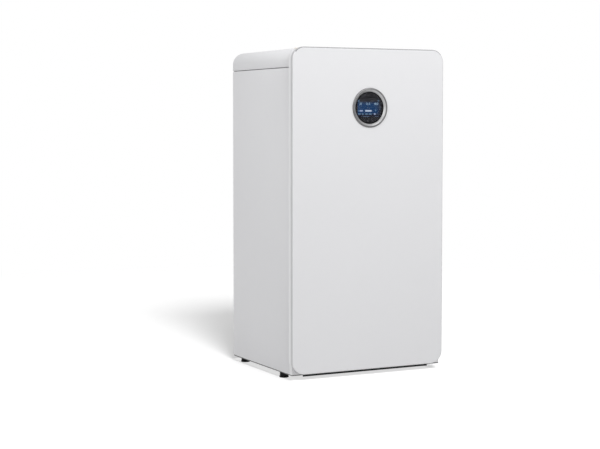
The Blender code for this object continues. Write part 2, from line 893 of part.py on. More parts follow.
def make_pump(prefix, x, parts, tools, iron, black, steel):
    y, z = pump_y, pump_height
    half = volute_depth / 2
    profile = [
        (0.0, half),
        (volute_radius, half),
        (volute_radius, volute_wall - half),
        (volute_radius - volute_wall, -half),
        (0.0, -half),
    ]
    housing = turned(f"{prefix}_pump_housing", profile, (x, y, z), iron, parts, turn_steps, "front")
    ends = (pump_top, pump_bottom)
    for number, end in enumerate(ends):
        inward = math.copysign(pump_nut_height, z - end)
        port = rod(f"{prefix}_port_{number}", (x, y, z), (x, y, end), pump_port_radius, None, tools)
        nut = rod(f"{prefix}_nut_{number}", (x, y, end + inward), (x, y, end), pump_nut_radius, None, tools, hex_sides)
        join(housing, port)
        join(housing, nut)
    chamber = volute_radius - volute_wall
    start = (x, y - half - overrun, z)
    cut(housing, rod(f"{prefix}_chamber", start, (x, y + half - volute_wall, z), chamber, None, tools, turn_steps))
    face = y - half - gap
    can = rotor_radius + running_gap
    cavity = rotor_length + running_gap
    profile = [
        (0.0, motor_length),
        (motor_radius, motor_length),
        (motor_radius, volute_wall),
        (volute_radius, volute_wall),
        (volute_radius, 0.0),
        (can, 0.0),
        (can, cavity),
        (bearing_radius + gap, cavity),
        (bearing_radius + gap, cavity + bearing_depth),
        (0.0, cavity + bearing_depth),
    ]
    motor = turned(f"{prefix}_pump_motor", profile, (x, face, z), black, parts, turn_steps, "front")
    side = head_side / 2
    low = (x - side, face - motor_length - head_depth, z - side)
    high = (x + side, face - motor_length + volute_wall, z + side)
    join(motor, block(f"{prefix}_pump_head", low, high, None, tools, volute_wall))
    back = -volute_depth + volute_wall + running_gap
    profile = [
        (0.0, rotor_length + bearing_depth),
        (bearing_radius, rotor_length + bearing_depth),
        (bearing_radius, rotor_length),
        (rotor_radius, rotor_length),
        (rotor_radius, running_gap),
        (impeller_hub, running_gap),
        (impeller_hub, back + impeller_depth + running_gap),
        (impeller_radius, back + impeller_depth),
        (impeller_radius, back),
        (0.0, back),
    ]
    turned(f"{prefix}_pump_rotor", profile, (x, face, z), steel, parts, small_turn_steps, "front")


def make_heater(parts, tools, steel):
    x, y, low = heater_x, body_rear - heater_from_rear, shelf_height + heater_from_shelf
    high = low + heater_height
    profile = [
        (0.0, high + heater_port),
        (pump_port_radius, high + heater_port),
        (pump_port_radius, high),
        (heater_radius - heater_dome, high),
        (heater_radius, high - heater_dome),
        (heater_radius, low + heater_dome),
        (heater_radius - heater_dome, low),
        (pump_port_radius, low),
        (pump_port_radius, low - heater_port),
        (0.0, low - heater_port),
    ]
    vessel = turned("immersion_heater", profile, (x, y, 0.0), steel, parts, turn_steps)
    z = low + heater_height / 4
    face = y - heater_radius - heater_boss_length
    join(vessel, rod("heater_boss", (x, y, z), (x, face, z), heater_boss_radius, None, tools, hex_sides))
    half = heater_cap_side / 2
    low_corner = (x - half, face - heater_cap_depth, z - half)
    high_corner = (x + half, face + box_sheet, z + half)
    join(vessel, block("heater_cap", low_corner, high_corner, None, tools, box_sheet))
    return x, y, low - heater_port, high + heater_port


def make_water_pipes(parts, copper, heater):
    heater_at, heater_y, heater_low, heater_high = heater
    brine_port = evaporator_x + port_spacing / 2
    water_port = condenser_x + port_spacing / 2
    end = plate_top - gap
    riser_y = port_front - riser_from_ports
    run_height = shelf_height - condenser_run_drop
    routes = {
        "brine_in_pipe": [
            (brine_in_x, connection_y, end),
            (brine_in_x, connection_y, lower_run_height),
            (brine_port, pump_y, lower_run_height),
            (brine_port, pump_y, pump_top + gap),
        ],
        "brine_feed_pipe": [
            (brine_port, pump_y, pump_bottom - gap),
            (brine_port, pump_y, port_high),
            (brine_port, port_front - gap, port_high),
        ],
        "brine_out_pipe": [
            (brine_port, port_front - gap, port_low),
            (brine_port, riser_y, port_low),
            (riser_x, riser_y, port_low),
            (riser_x, riser_y, upper_run_height),
            (brine_out_x, connection_y, upper_run_height),
            (brine_out_x, connection_y, end),
        ],
        "return_pipe": [
            (return_x, connection_y, end),
            (return_x, connection_y, lower_run_height),
            (water_port, pump_y, lower_run_height),
            (water_port, pump_y, pump_top + gap),
        ],
        "condenser_feed_pipe": [
            (water_port, pump_y, pump_bottom - gap),
            (water_port, pump_y, port_low),
            (water_port, port_front - gap, port_low),
        ],
        "condenser_out_pipe": [
            (water_port, port_front - gap, port_high),
            (water_port, riser_y, port_high),
            (water_port, riser_y, run_height),
            (heater_at, heater_y, run_height),
            (heater_at, heater_y, heater_low - gap),
        ],
        "flow_pipe": [
            (heater_at, heater_y, heater_high + gap),
            (heater_at, heater_y, heater_high + flow_lead),
            (flow_x, connection_y, heater_high + flow_lead),
            (flow_x, connection_y, end),
        ],
    }
    for name, corners in routes.items():
        pipe(name, corners, pipe_radius, pipe_bend, copper, parts)


def make_couplings(parts, tools, brass, black):
    names = {
        "flow_coupling": flow_x,
        "return_coupling": return_x,
        "brine_in_coupling": brine_in_x,
        "brine_out_coupling": brine_out_x,
    }
    base = plate_top + gap
    high = base + coupling_height
    for name, x in names.items():
        body = rod(name, (x, connection_y, base), (x, connection_y, high), coupling_radius, brass, parts, hex_sides)
        bore_low, bore_high = (x, connection_y, base - overrun), (x, connection_y, high + overrun)
        cut(body, rod(f"{name}_bore", bore_low, bore_high, coupling_bore, None, tools))
    profile = [
        (gland_bore, gland_height),
        (gland_radius - gland_dome, gland_height),
        (gland_radius, gland_height - gland_dome),
        (gland_radius, gap),
        (gland_neck, gap),
        (gland_neck, -gland_height / 2),
        (gland_bore, -gland_height / 2),
    ]
    place = (gland_x, connection_y, plate_top)
    turned("power_cable_gland", profile, place, black, parts, small_turn_steps, "up", True)


def make_electrics(parts, tools, steel, black, paint, red):
    left, right = box_left_room - inner_half, box_right_x
    low = shelf_height + gap
    high = low + box_height
    front = door_rear + box_front_setback - door_depth
    lid_back = front + box_lid_depth
    back = lid_back + gap + box_depth
    outline = [(left, low), (right, low), (right, high), (left, high)]
    rings = [plane_ring(outline, back), plane_ring(outline, lid_back + gap)]
    box = skin("electrical_box", rings, steel, parts, wall=box_sheet)
    rings = [plane_ring(outline, front), plane_ring(outline, lid_back)]
    lid = skin("electrical_cover", rings, paint, parts, wall=box_sheet)
    x = left + breaker_from_left
    z = high - breaker_from_top
    half_width, half_height = breaker_width / 2, breaker_height / 2
    nose = front - breaker_nose
    low_corner = (x - half_width, nose, z - half_height)
    high_corner = (x + half_width, nose + breaker_depth, z + half_height)
    breaker = block("breaker", low_corner, high_corner, paint, parts)
    wall = back - box_sheet
    rail_front = nose + breaker_depth + gap
    half_rail = rail_width / 2
    low_corner = (x - half_rail, rail_front, z - rail_height / 2)
    high_corner = (x + half_rail, rail_front + box_sheet, z + rail_height / 2)
    join(box, block("breaker_rail", low_corner, high_corner, None, tools))
    for number, side in enumerate((-half_rail, half_rail - rail_leg)):
        low_corner = (x + side, rail_front, z - rail_leg)
        high_corner = (x + side + rail_leg, wall + box_sheet / 2, z + rail_leg)
        join(box, block(f"breaker_rail_leg_{number}", low_corner, high_corner, None, tools))
    play = window_play
    low_corner = (x - half_width - play, front - overrun, z - half_height - play)
    high_corner = (x + half_width + play, lid_back + overrun, z + half_height + play)
    cut(lid, block("breaker_window", low_corner, high_corner, None, tools))
    pivot = (x, nose + toggle_hub / 3, z)
    half = toggle_width / 2
    start, end = (x - half, pivot[1], z), (x + half, pivot[1], z)
    toggle = rod("breaker_toggle", start, end, toggle_hub, black, parts)
    well_radius = toggle_hub + toggle_play
    start, end = (x - half - toggle_play, pivot[1], z), (x + half + toggle_play, pivot[1], z)
    cut(breaker, rod("toggle_well", start, end, well_radius, None, tools))
    make_toggle_lever(toggle, pivot, tools)
    row = high - control_row_drop
    knob_x = left + knob_from_left
    profile = [
        (0.0, knob_height),
        (knob_radius * knob_face_share, knob_height),
        (knob_radius, knob_height * knob_edge_share),
        (knob_radius, gap),
        (knob_shaft, gap),
        (knob_shaft, -knob_height),
        (0.0, -knob_height),
    ]
    turned("mode_switch", profile, (knob_x, front, row), black, parts, small_turn_steps, "front")
    start, end = (knob_x, front - overrun, row), (knob_x, front + overrun, row)
    cut(lid, rod("mode_switch_hole", start, end, knob_shaft + play, None, tools))
    button_x = left + button_from_left
    start, end = (button_x, front - button_travel - play, row), (button_x, front + button_length, row)
    rod("reset_button", start, end, button_radius, red, parts, small_turn_steps)
    start, end = (button_x, front - overrun, row), (button_x, front + overrun, row)
    cut(lid, rod("reset_hole", start, end, button_radius + play, None, tools))


def make_board(parts, tools, board_green):
    """The controller board on its standoffs, with its relays and terminal strips."""
    high_x = box_right_x - board_from_right
    low_z = shelf_height + board_from_low
    low_x, high_z = high_x - board_width, low_z + board_height
    lid_front = door_rear + box_front_setback - door_depth
    wall = lid_front + box_lid_depth + gap + box_depth - box_sheet
    back = wall - board_standoff
    front = back - board_thick
    board = block("control_board", (low_x, front, low_z), (high_x, back, high_z), board_green, parts)
    inset = board_standoff / 2
    corners = [(x, z) for x in (low_x + inset, high_x - inset) for z in (low_z + inset, high_z - inset)]
    for number, (x, z) in enumerate(corners):
        start, end = (x, front + board_thick / 2, z), (x, wall - gap, z)
        join(board, rod(f"standoff_{number}", start, end, board_standoff / 4, None, tools, hex_sides))
    strip = board_height * strip_share
    pitch = (board_height - strip - strip) / relay_rows
    for number in range(relay_rows):
        z = low_z + strip + number * pitch
        inner = inset + board_standoff / 2
        low_corner = (low_x + inner, front - chip_height, z)
        high_corner = (low_x + inner + board_width / 4, front + board_thick / 2, z + board_height * relay_share)
        join(board, block(f"relay_{number}", low_corner, high_corner, None, tools))
    low_corner = (high_x - inset - board_width / 6, front - chip_height / 2, low_z + strip)
    high_corner = (high_x - inset, front + board_thick / 2, high_z - strip)
    join(board, block("terminal_strip", low_corner, high_corner, None, tools))


def make_toggle_lever(toggle, pivot, tools):
    """The lever stands up at 45 degrees, which is the switched-on place."""
    half = toggle_width / 2 - toggle_play
    shape = bmesh.new()
    size = (2 * half, toggle_length, toggle_thick)
    bmesh.ops.create_cube(shape, size=1.0, matrix=Matrix.Diagonal((*size, 1.0)))
    lever = mesh_object("toggle_lever", shape, None, tools)
    reach = toggle_length / 2 * math.cos(math.pi / 4)
    lever.location = (pivot[0], pivot[1] - reach, pivot[2] + reach)
    lever.rotation_euler = (-math.pi / 4, 0.0, 0.0)
    join(toggle, lever)


def main():
    clear_scene()
    parts = new_collection("ground_source_heat_pump")
    tools = new_collection("cutters")
    white = material("white_paint", (0.80, 0.80, 0.82), 0.45)
    cover_white = material("cover_plastic", (0.76, 0.76, 0.78), 0.5)
    galvanised = material("galvanised_steel", (0.55, 0.56, 0.58), 0.4, 0.9)
    stainless = material("stainless_steel", (0.60, 0.60, 0.60), 0.28, 1.0)
    satin = material("satin_metal", (0.55, 0.55, 0.56), 0.3, 1.0)
    copper = material("copper", (0.72, 0.38, 0.26), 0.3, 1.0)
    brass = material("brass", (0.70, 0.55, 0.28), 0.3, 1.0)
    iron = material("cast_iron", (0.08, 0.08, 0.09), 0.6, 0.3)
    black = material("black_plastic", (0.02, 0.02, 0.02), 0.45)
    shell_black = material("black_enamel", (0.015, 0.015, 0.016), 0.35)
    rubber = material("rubber", (0.02, 0.02, 0.02), 0.8)
    glass = material("display_glass", (0.01, 0.01, 0.012), 0.08)
    screen = material("display_screen", (0.02, 0.12, 0.30), 0.3)
    foam = material("foam", (0.10, 0.10, 0.11), 0.95)
    board_green = material("circuit_board", (0.03, 0.16, 0.07), 0.5)
    red = material("red_plastic", (0.60, 0.03, 0.02), 0.4)
    make_front_panel(parts, tools, white, foam)
    make_display(parts, satin, glass, screen, black)
    make_frame(parts, tools, white)
    make_panels(parts, white, galvanised)
    make_cover(parts, tools, cover_white, galvanised)
    make_base(parts, tools, galvanised, black)
    make_shelf(parts, galvanised)
    compressor = make_compressor(parts, tools, shell_black, rubber)
    make_exchanger("evaporator", evaporator_x, parts, tools, stainless)
    make_exchanger("condenser", condenser_x, parts, tools, stainless)
    make_refrigerant_line(parts, tools, copper, copper, brass, compressor)
    make_pump("brine", evaporator_x + port_spacing / 2, parts, tools, iron, black, stainless)
    make_pump("heating", condenser_x + port_spacing / 2, parts, tools, iron, black, stainless)
    heater = make_heater(parts, tools, stainless)
    make_water_pipes(parts, copper, heater)
    make_couplings(parts, tools, brass, black)
    make_electrics(parts, tools, galvanised, black, white, red)
    make_board(parts, tools, board_green)


main()
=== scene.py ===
import math
from math import cos, pi, radians, sin

import bmesh
import bpy
from mathutils import Matrix, Vector


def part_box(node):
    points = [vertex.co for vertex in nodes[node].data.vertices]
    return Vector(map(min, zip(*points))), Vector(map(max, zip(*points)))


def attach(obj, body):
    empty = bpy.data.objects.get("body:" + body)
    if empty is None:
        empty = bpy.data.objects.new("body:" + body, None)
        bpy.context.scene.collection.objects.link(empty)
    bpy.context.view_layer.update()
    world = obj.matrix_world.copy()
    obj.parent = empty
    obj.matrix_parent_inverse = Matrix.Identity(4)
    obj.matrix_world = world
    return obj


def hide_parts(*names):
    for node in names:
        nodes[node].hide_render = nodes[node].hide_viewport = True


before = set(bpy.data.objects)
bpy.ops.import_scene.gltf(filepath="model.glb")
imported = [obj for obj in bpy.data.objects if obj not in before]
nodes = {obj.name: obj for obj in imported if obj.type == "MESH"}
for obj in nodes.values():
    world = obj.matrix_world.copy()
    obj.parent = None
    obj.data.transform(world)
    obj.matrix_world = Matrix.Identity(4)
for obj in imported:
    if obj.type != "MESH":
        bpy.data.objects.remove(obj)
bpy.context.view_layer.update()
print("frame loaded:", len(nodes), "nodes")


# Shader nodes

def setInputs(tree, node, values):
    for key, value in values.items():
        if isinstance(value, bpy.types.NodeSocket):
            tree.links.new(value, node.inputs[key])
        else:
            node.inputs[key].default_value = value


def addNode(tree, kind, inputs=None, **settings):
    made = tree.nodes.new("ShaderNode" + kind)
    made.location = (200 * len(tree.nodes), 0)
    for key, value in settings.items():
        setattr(made, key, value)
    setInputs(tree, made, inputs or {})
    return made


def mathNode(tree, operation, first, second=0.0, clamp=False):
    return addNode(tree, "Math", {0: first, 1: second}, operation=operation, use_clamp=clamp).outputs[0]


def product(tree, first, second):
    return mathNode(tree, "MULTIPLY", first, second)


def total(tree, first, second, clamp=False):
    return mathNode(tree, "ADD", first, second, clamp)


def vectorNode(tree, operation, first, second=(0.0, 0.0, 0.0)):
    return addNode(tree, "VectorMath", {0: first, 1: second}, operation=operation).outputs


def ramp(tree, value, low, high, outLow=0.0, outHigh=1.0):
    inputs = {"Value": value, "From Min": low, "From Max": high, "To Min": outLow, "To Max": outHigh}
    return addNode(tree, "MapRange", inputs, interpolation_type="SMOOTHSTEP").outputs["Result"]


def mixColour(tree, mask, *pair):
    first, second = [tone if isinstance(tone, bpy.types.NodeSocket) else (*tone, 1.0) for tone in pair]
    return addNode(tree, "Mix", {0: mask, 6: first, 7: second}, data_type="RGBA").outputs[2]


def noise(tree, place, scale, detail=2.0, roughness=0.5):
    inputs = {"Vector": place, "Scale": scale, "Detail": detail, "Roughness": roughness}
    return addNode(tree, "TexNoise", inputs).outputs["Fac"]


def objectPlace(tree):
    return addNode(tree, "TexCoord").outputs["Object"]


def heightOf(tree, vector):
    return addNode(tree, "SeparateXYZ", {0: vector}).outputs["Z"]


# Effects that several finishes share: each is a group with number inputs and one output

def skinHeight(tree, place, given):
    # fine skin of powder coat, moulded plastic and castings
    wide = noise(tree, place, product(tree, given["Scale"], 0.22))
    return total(tree, noise(tree, place, given["Scale"], 1.0), product(tree, wide, given["Coarse Share"]))


def mottleMask(tree, place, given):
    # slow and fine changes of tone over a surface
    slow = noise(tree, place, given["Scale"], 3.0)
    fast = noise(tree, place, product(tree, given["Scale"], 14.0))
    both = total(tree, product(tree, slow, 0.7), product(tree, fast, 0.3))
    centred = product(tree, mathNode(tree, "SUBTRACT", both, 0.5), given["Contrast"])
    return total(tree, product(tree, centred, 4.0), 0.5, True)


def wearMask(tree, place, given):
    # worn edges, broken up by noise
    sharp = addNode(tree, "NewGeometry").outputs["Pointiness"]
    edge = ramp(tree, sharp, given["Threshold"], total(tree, given["Threshold"], 0.08))
    return product(tree, edge, ramp(tree, noise(tree, place, given["Scale"], 3.0), 0.42, 0.62))


def dustMask(tree, place, given):
    # dust that settles on what faces up
    upward = heightOf(tree, addNode(tree, "NewGeometry").outputs["Normal"])
    patch = ramp(tree, noise(tree, place, given["Scale"], 4.0, 0.6), 0.3, 0.75)
    return product(tree, product(tree, ramp(tree, upward, 0.55, 0.98), patch), given["Amount"])


def grainTone(tree, place, given):
    # grain drawn along one direction: a large scale across it and a small one along it
    stretch = addNode(tree, "CombineXYZ", {axis: given["Across " + axis] for axis in "XYZ"}).outputs[0]
    return noise(tree, vectorNode(tree, "MULTIPLY", place, stretch)[0], 1.0, 3.0, 0.6)


def zincTone(tree, place, given):
    # zinc flowers of galvanised sheet
    wobble = addNode(tree, "TexNoise", {"Vector": place, "Scale": 40.0, "Detail": 2.0}).outputs["Color"]
    spot = vectorNode(tree, "ADD", place, vectorNode(tree, "MULTIPLY", wobble, (0.012, 0.012, 0.012))[0])[0]
    cells = addNode(tree, "TexVoronoi", {"Vector": spot, "Scale": given["Scale"]}).outputs["Color"]
    shade = addNode(tree, "SeparateColor", {0: cells}).outputs[0]
    return total(tree, product(tree, shade, 0.75), product(tree, noise(tree, spot, 700.0), 0.25))


def cellHeight(tree, place, given):
    # open cells of foam
    cells = addNode(tree, "TexVoronoi", {"Vector": place, "Scale": given["Scale"]})
    return ramp(tree, cells.outputs["Distance"], 0.1, 0.6)


def makeGroup(name, output, build, inputs):
    group = bpy.data.node_groups.new(name, "ShaderNodeTree")
    for label, value in inputs.items():
        socket = group.interface.new_socket(name=label, in_out="INPUT", socket_type="NodeSocketFloat")
        socket.default_value = value
    group.interface.new_socket(name=output, in_out="OUTPUT", socket_type="NodeSocketFloat")
    given, result = group.nodes.new("NodeGroupInput").outputs, group.nodes.new("NodeGroupOutput").inputs
    group.links.new(build(group, objectPlace(group), given), result[output])
    return group


effects = {
    "skin": makeGroup("Fine Skin", "Height", skinHeight, {"Scale": 900.0, "Coarse Share": 0.4}),
    "mottle": makeGroup("Mottle", "Mask", mottleMask, {"Scale": 5.0, "Contrast": 0.5}),
    "wear": makeGroup("Edge Wear", "Mask", wearMask, {"Threshold": 0.56, "Scale": 120.0}),
    "dust": makeGroup("Settled Dust", "Mask", dustMask, {"Amount": 0.3, "Scale": 60.0}),
    "grain": makeGroup("Drawn Grain", "Tone", grainTone,
                       {"Across X": 40.0, "Across Y": 2500.0, "Across Z": 2500.0}),
    "zinc": makeGroup("Zinc Flowers", "Tone", zincTone, {"Scale": 95.0}),
    "cells": makeGroup("Open Cells", "Height", cellHeight, {"Scale": 420.0}),
}


# Finishes

def startMaterial(name):
    made = bpy.data.materials.new(name)
    made.use_nodes = True
    return made, made.node_tree, made.node_tree.nodes["Principled BSDF"]


def useEffect(tree, name, values):
    made = addNode(tree, "Group", node_tree=effects[name])
    for socket, value in zip(made.inputs, values if isinstance(values, tuple) else (values,)):
        socket.default_value = value
    return made.outputs[0]


usual = {"metallic": 0.0, "coat": 0.0, "specular": 0.5, "bump": 0.2, "depth": 0.0002,
         "dustColour": (0.42, 0.40, 0.37)}


def makeFinish(name, look):
    look = {**usual, **look}
    made, tree, shader = startMaterial(name)
    used = {key: useEffect(tree, key, look[key]) for key in effects if key in look}
    mask = used["zinc" if "zinc" in used else "mottle"]
    if "grain" in used:
        mask = total(tree, product(tree, used["grain"], 0.6), product(tree, mask, 0.4))
    tone = mixColour(tree, mask, look["colour"], look["tint"])
    # a second colour above a given height; the tray is dark below it as painted shade
    if "above" in look:
        start, paint = look["above"]
        above = ramp(tree, heightOf(tree, objectPlace(tree)), start, start + 0.0003)
        tone = mixColour(tree, above, tone, paint)
    shine = ramp(tree, mask, 0.0, 1.0, *look["roughness"])
    if "wear" in used:
        tone = mixColour(tree, used["wear"], tone, look["under"])
    if "dust" in used:
        tone = mixColour(tree, used["dust"], tone, look["dustColour"])
        shine = total(tree, shine, product(tree, used["dust"], 0.4), True)
    setInputs(tree, shader, {"Base Color": tone, "Roughness": shine, "Metallic": look["metallic"],
                             "Coat Weight": look["coat"], "Coat Roughness": 0.1,
                             "Specular IOR Level": look["specular"]})
    for relief in [used[key] for key in ("skin", "cells", "grain") if key in used]:
        bump = addNode(tree, "Bump", {"Strength": look["bump"], "Distance": look["depth"], "Height": relief})
        setInputs(tree, shader, {"Normal": bump.outputs["Normal"]})
    return made


def family(shared, **members):
    # finishes that share some of their values
    return {name: {**shared, **own} for name, own in members.items()}


# mottle is scale and contrast, skin is scale and coarse share, dust is its amount
looks = {
    **family(
        dict(mottle=(3.0, 0.5), skin=700.0, bump=0.10, specular=0.4),
        doorPaint=dict(colour=(0.80, 0.80, 0.815), tint=(0.785, 0.785, 0.80), roughness=(0.36, 0.44)),
        sidePaint=dict(colour=(0.79, 0.79, 0.805), tint=(0.775, 0.775, 0.79), roughness=(0.40, 0.50),
                       mottle=(3.0, 0.6), bump=0.12),
        # the frame is painted a little lighter than the sides: painted light
        framePaint=dict(colour=(0.83, 0.83, 0.845), tint=(0.82, 0.82, 0.835), roughness=(0.38, 0.46)),
    ),
    # painted shade of the front panel's edge: grey on its side, darker along its top
    **family(
        dict(mottle=(6.0, 0.5), skin=900.0, bump=0.10, roughness=(0.46, 0.56)),
        edgeTrim=dict(colour=(0.60, 0.60, 0.61), tint=(0.56, 0.56, 0.57)),
        edgeShade=dict(colour=(0.34, 0.34, 0.35), tint=(0.31, 0.31, 0.32)),
    ),
    **family(
        dict(metallic=1.0),
        stainless=dict(colour=(0.56, 0.56, 0.56), tint=(0.66, 0.65, 0.64), roughness=(0.24, 0.36),
                       mottle=(5.0, 0.5), grain=(2200.0, 2200.0, 30.0), bump=0.05, dust=0.15),
        satinMetal=dict(colour=(0.36, 0.36, 0.37), tint=(0.43, 0.43, 0.43), roughness=(0.40, 0.48),
                        mottle=(40.0, 0.8), skin=2400.0, bump=0.10),
        ringEdge=dict(colour=(0.15, 0.15, 0.155), tint=(0.20, 0.20, 0.20), roughness=(0.40, 0.48),
                      metallic=0.9, mottle=(40.0, 0.8), skin=2400.0, bump=0.15),
        copperTube=dict(colour=(0.68, 0.36, 0.24), tint=(0.56, 0.27, 0.17), roughness=(0.24, 0.42),
                        mottle=(22.0, 1.0), dust=0.12),
        brazing=dict(colour=(0.62, 0.55, 0.42), tint=(0.42, 0.34, 0.26), roughness=(0.35, 0.55), metallic=0.9,
                     mottle=(90.0, 1.4), skin=600.0, bump=0.4),
        brass=dict(colour=(0.70, 0.53, 0.27), tint=(0.60, 0.44, 0.21), roughness=(0.24, 0.38),
                   mottle=(30.0, 0.9), dust=0.12),
        zincBolt=dict(colour=(0.55, 0.55, 0.54), tint=(0.66, 0.65, 0.60), roughness=(0.26, 0.40),
                      mottle=(120.0, 0.9)),
        zincSheet=dict(colour=(0.53, 0.54, 0.56), tint=(0.63, 0.64, 0.66), roughness=(0.36, 0.47),
                       metallic=0.85, zinc=95.0, dust=0.25),
    ),
    **family(
        dict(mottle=(20.0, 0.7), skin=1600.0, bump=0.15),
        blackPlastic=dict(colour=(0.014, 0.014, 0.015), tint=(0.024, 0.024, 0.025), roughness=(0.40, 0.52),
                          bump=0.22, dust=0.12),
        greyPlastic=dict(colour=(0.33, 0.34, 0.35), tint=(0.30, 0.31, 0.32), roughness=(0.42, 0.52),
                         dust=0.1),
        palePlastic=dict(colour=(0.66, 0.66, 0.65), tint=(0.61, 0.61, 0.60), roughness=(0.38, 0.48),
                         bump=0.12),
        breakerPlastic=dict(colour=(0.58, 0.58, 0.57), tint=(0.54, 0.54, 0.53), roughness=(0.40, 0.50)),
        redPlastic=dict(colour=(0.55, 0.028, 0.020), tint=(0.47, 0.022, 0.016), roughness=(0.34, 0.44),
                        mottle=(30.0, 0.5), bump=0.10),
        bluePlastic=dict(colour=(0.020, 0.085, 0.36), tint=(0.016, 0.070, 0.30), roughness=(0.34, 0.44),
                         mottle=(30.0, 0.5), bump=0.10),
        coverPlastic=dict(colour=(0.752, 0.752, 0.767), tint=(0.737, 0.737, 0.752), roughness=(0.44, 0.54),
                          mottle=(5.0, 0.5), skin=(1500.0, 0.2), bump=0.10, dust=0.10,
                          dustColour=(0.66, 0.65, 0.63)),
    ),
    **family(
        dict(mottle=(9.0, 0.8), skin=700.0),
        # the tray is dark up to a height, as painted shade under the cabinet, and white above it
        trayPaint=dict(colour=(0.060, 0.060, 0.062), tint=(0.085, 0.085, 0.088), roughness=(0.45, 0.58),
                       above=(0.0234, (0.80, 0.80, 0.81)), bump=0.2, dust=0.25),
        enamel=dict(colour=(0.012, 0.012, 0.013), tint=(0.022, 0.022, 0.024), roughness=(0.22, 0.34),
                    coat=0.4, skin=(420.0, 0.8), bump=0.18, dust=0.3),
        castIron=dict(colour=(0.030, 0.031, 0.034), tint=(0.055, 0.055, 0.058), roughness=(0.50, 0.66),
                      mottle=(18.0, 0.8), skin=(520.0, 0.9), bump=0.55, depth=0.0004, wear=0.56,
                      under=(0.20, 0.19, 0.18), dust=0.2),
        drierPaint=dict(colour=(0.085, 0.115, 0.135), tint=(0.105, 0.140, 0.160), roughness=(0.30, 0.42),
                        coat=0.2, mottle=(14.0, 0.8), skin=520.0, bump=0.15, dust=0.15),
        solderMask=dict(colour=(0.012, 0.105, 0.040), tint=(0.020, 0.150, 0.060), roughness=(0.28, 0.40),
                        mottle=(60.0, 0.8), skin=900.0, bump=0.1),
        rubber=dict(colour=(0.016, 0.016, 0.016), tint=(0.030, 0.029, 0.028), roughness=(0.72, 0.88),
                    mottle=(25.0, 0.9), skin=1100.0, bump=0.25, dust=0.15),
    ),
    **family(
        dict(mottle=(60.0, 0.9), specular=0.1, roughness=(0.30, 0.40)),
        maskTone=dict(colour=(0.024, 0.023, 0.027), tint=(0.030, 0.029, 0.032)),
        # near black for print, rubber and dark parts, and also for painted shade under the tray and in the
        # louvres
        maskEdge=dict(colour=(0.005, 0.005, 0.006), tint=(0.008, 0.008, 0.009)),
    ),
    "foam": dict(colour=(0.045, 0.045, 0.048), tint=(0.070, 0.070, 0.073), roughness=(0.90, 0.98),
                 mottle=(30.0, 0.8), cells=420.0, bump=0.9, depth=0.0012),
}
finishes = {name: makeFinish(name, look) for name, look in looks.items()}
print("finishes made:", len(finishes))


# Mesh making

upward, forward = (0, 0, 1), (0, -1, 0)
rightward = 3 * pi / 4    # puts the first step of what turns about a forward axis on its right
fourCorners = [(u, v) for u in (-1, 1) for v in (-1, 1)]


def boxOf(node):
    # the low and high corners of a node's box, and its middle
    low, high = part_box(node)
    return low, high, (low + high) / 2


def arcPoints(centre, radius, start, end, steps):
    turns = [radians(start + (end - start) * i / steps) for i in range(steps + 1)]
    return [(centre[0] + radius * cos(turn), centre[1] + radius * sin(turn)) for turn in turns]


def roundedOutline(left, right, low, high, radius, steps=12):
    points = []
    for centre, start in (((left + radius, low + radius), 180), ((right - radius, low + radius), 270),
                          ((right - radius, high - radius), 0), ((left + radius, high - radius), 90)):
        points += arcPoints(centre, radius, start, start + 90, steps)
    return points


def boxOutline(low, high, inset, radius, steps):
    # a rounded outline, seen from the front, round a box or inside it
    return roundedOutline(low.x + inset, high.x - inset, low.z + inset, high.z - inset, radius, steps)


def splitLong(outline, longest):
    # adds points on the long straight sides of a closed outline
    points = []
    for start, end in zip(outline, outline[1:] + outline[:1]):
        count = max(1, math.ceil(math.dist(start, end) / longest))
        points += [[a + (b - a) * i / count for a, b in zip(start, end)] for i in range(count)]
    return points


def foldPoints(radius, top, steps):
    # the inset and height of a quarter round that ends flat at the top
    turns = [pi / 2 * i / steps for i in range(steps + 1)]
    return [(radius * (1 - cos(turn)), top - radius * (1 - sin(turn))) for turn in turns]


def threadPoints(radius, depth, low, high, count):
    return [(radius - depth * (i % 2), low + i * (high - low) / count) for i in range(count + 1)]


def addRows(shape, rows, finish=0, ring=True, caps=(True, True), loop=False):
    # quads between rows of points; a ring row closes on itself, a loop joins the last row to the first
    made = [[shape.verts.new(point) for point in row] for row in rows]
    tones = finish if isinstance(finish, list) else [finish] * len(made)
    faces = []
    for near, far, tone in zip(made, made[1:] + made[:loop], tones):
        for i in range(len(near) if ring else len(near) - 1):
            j = (i + 1) % len(near)
            faces.append(shape.faces.new((near[i], near[j], far[j], far[i])))
            faces[-1].material_index = tone
    if ring and not loop:
        for row in [row for row, wanted in zip((made[0], made[-1]), caps) if wanted]:
            faces.append(shape.faces.new(row))
            faces[-1].material_index = tones[-1]
    return faces


def axisFrame(axis):
    along = Vector(axis).normalized()
    side = Vector((1.0, 0.0, 0.0)) if abs(along.z) > 0.99 else along.orthogonal().normalized()
    return along, side, along.cross(side)


def addTurned(shape, profile, place, axis=upward, steps=48, finish=0, loop=False, form=None, turn=0.0):
    # a profile of (radius, distance along the axis) turned about an axis through place; form changes
    # the radius from step to step
    along, side, other = axisFrame(axis)
    rows = []
    for radius, rise in profile:
        row = []
        for i in range(steps):
            angle = 2 * pi * (i / steps) + turn
            reach = form(radius, i) if form else radius
            row.append(Vector(place) + along * rise + (side * cos(angle) + other * sin(angle)) * reach)
        rows.append(row)
    return addRows(shape, rows, finish, loop=loop)


def addPeg(shape, radius, low, high, soft, place, axis=upward, steps=24, finish=0):
    # a round peg with its far rim turned off
    profile = [(radius, low), (radius, high - soft), (radius - soft, high)]
    addTurned(shape, profile, place, axis, steps, finish)


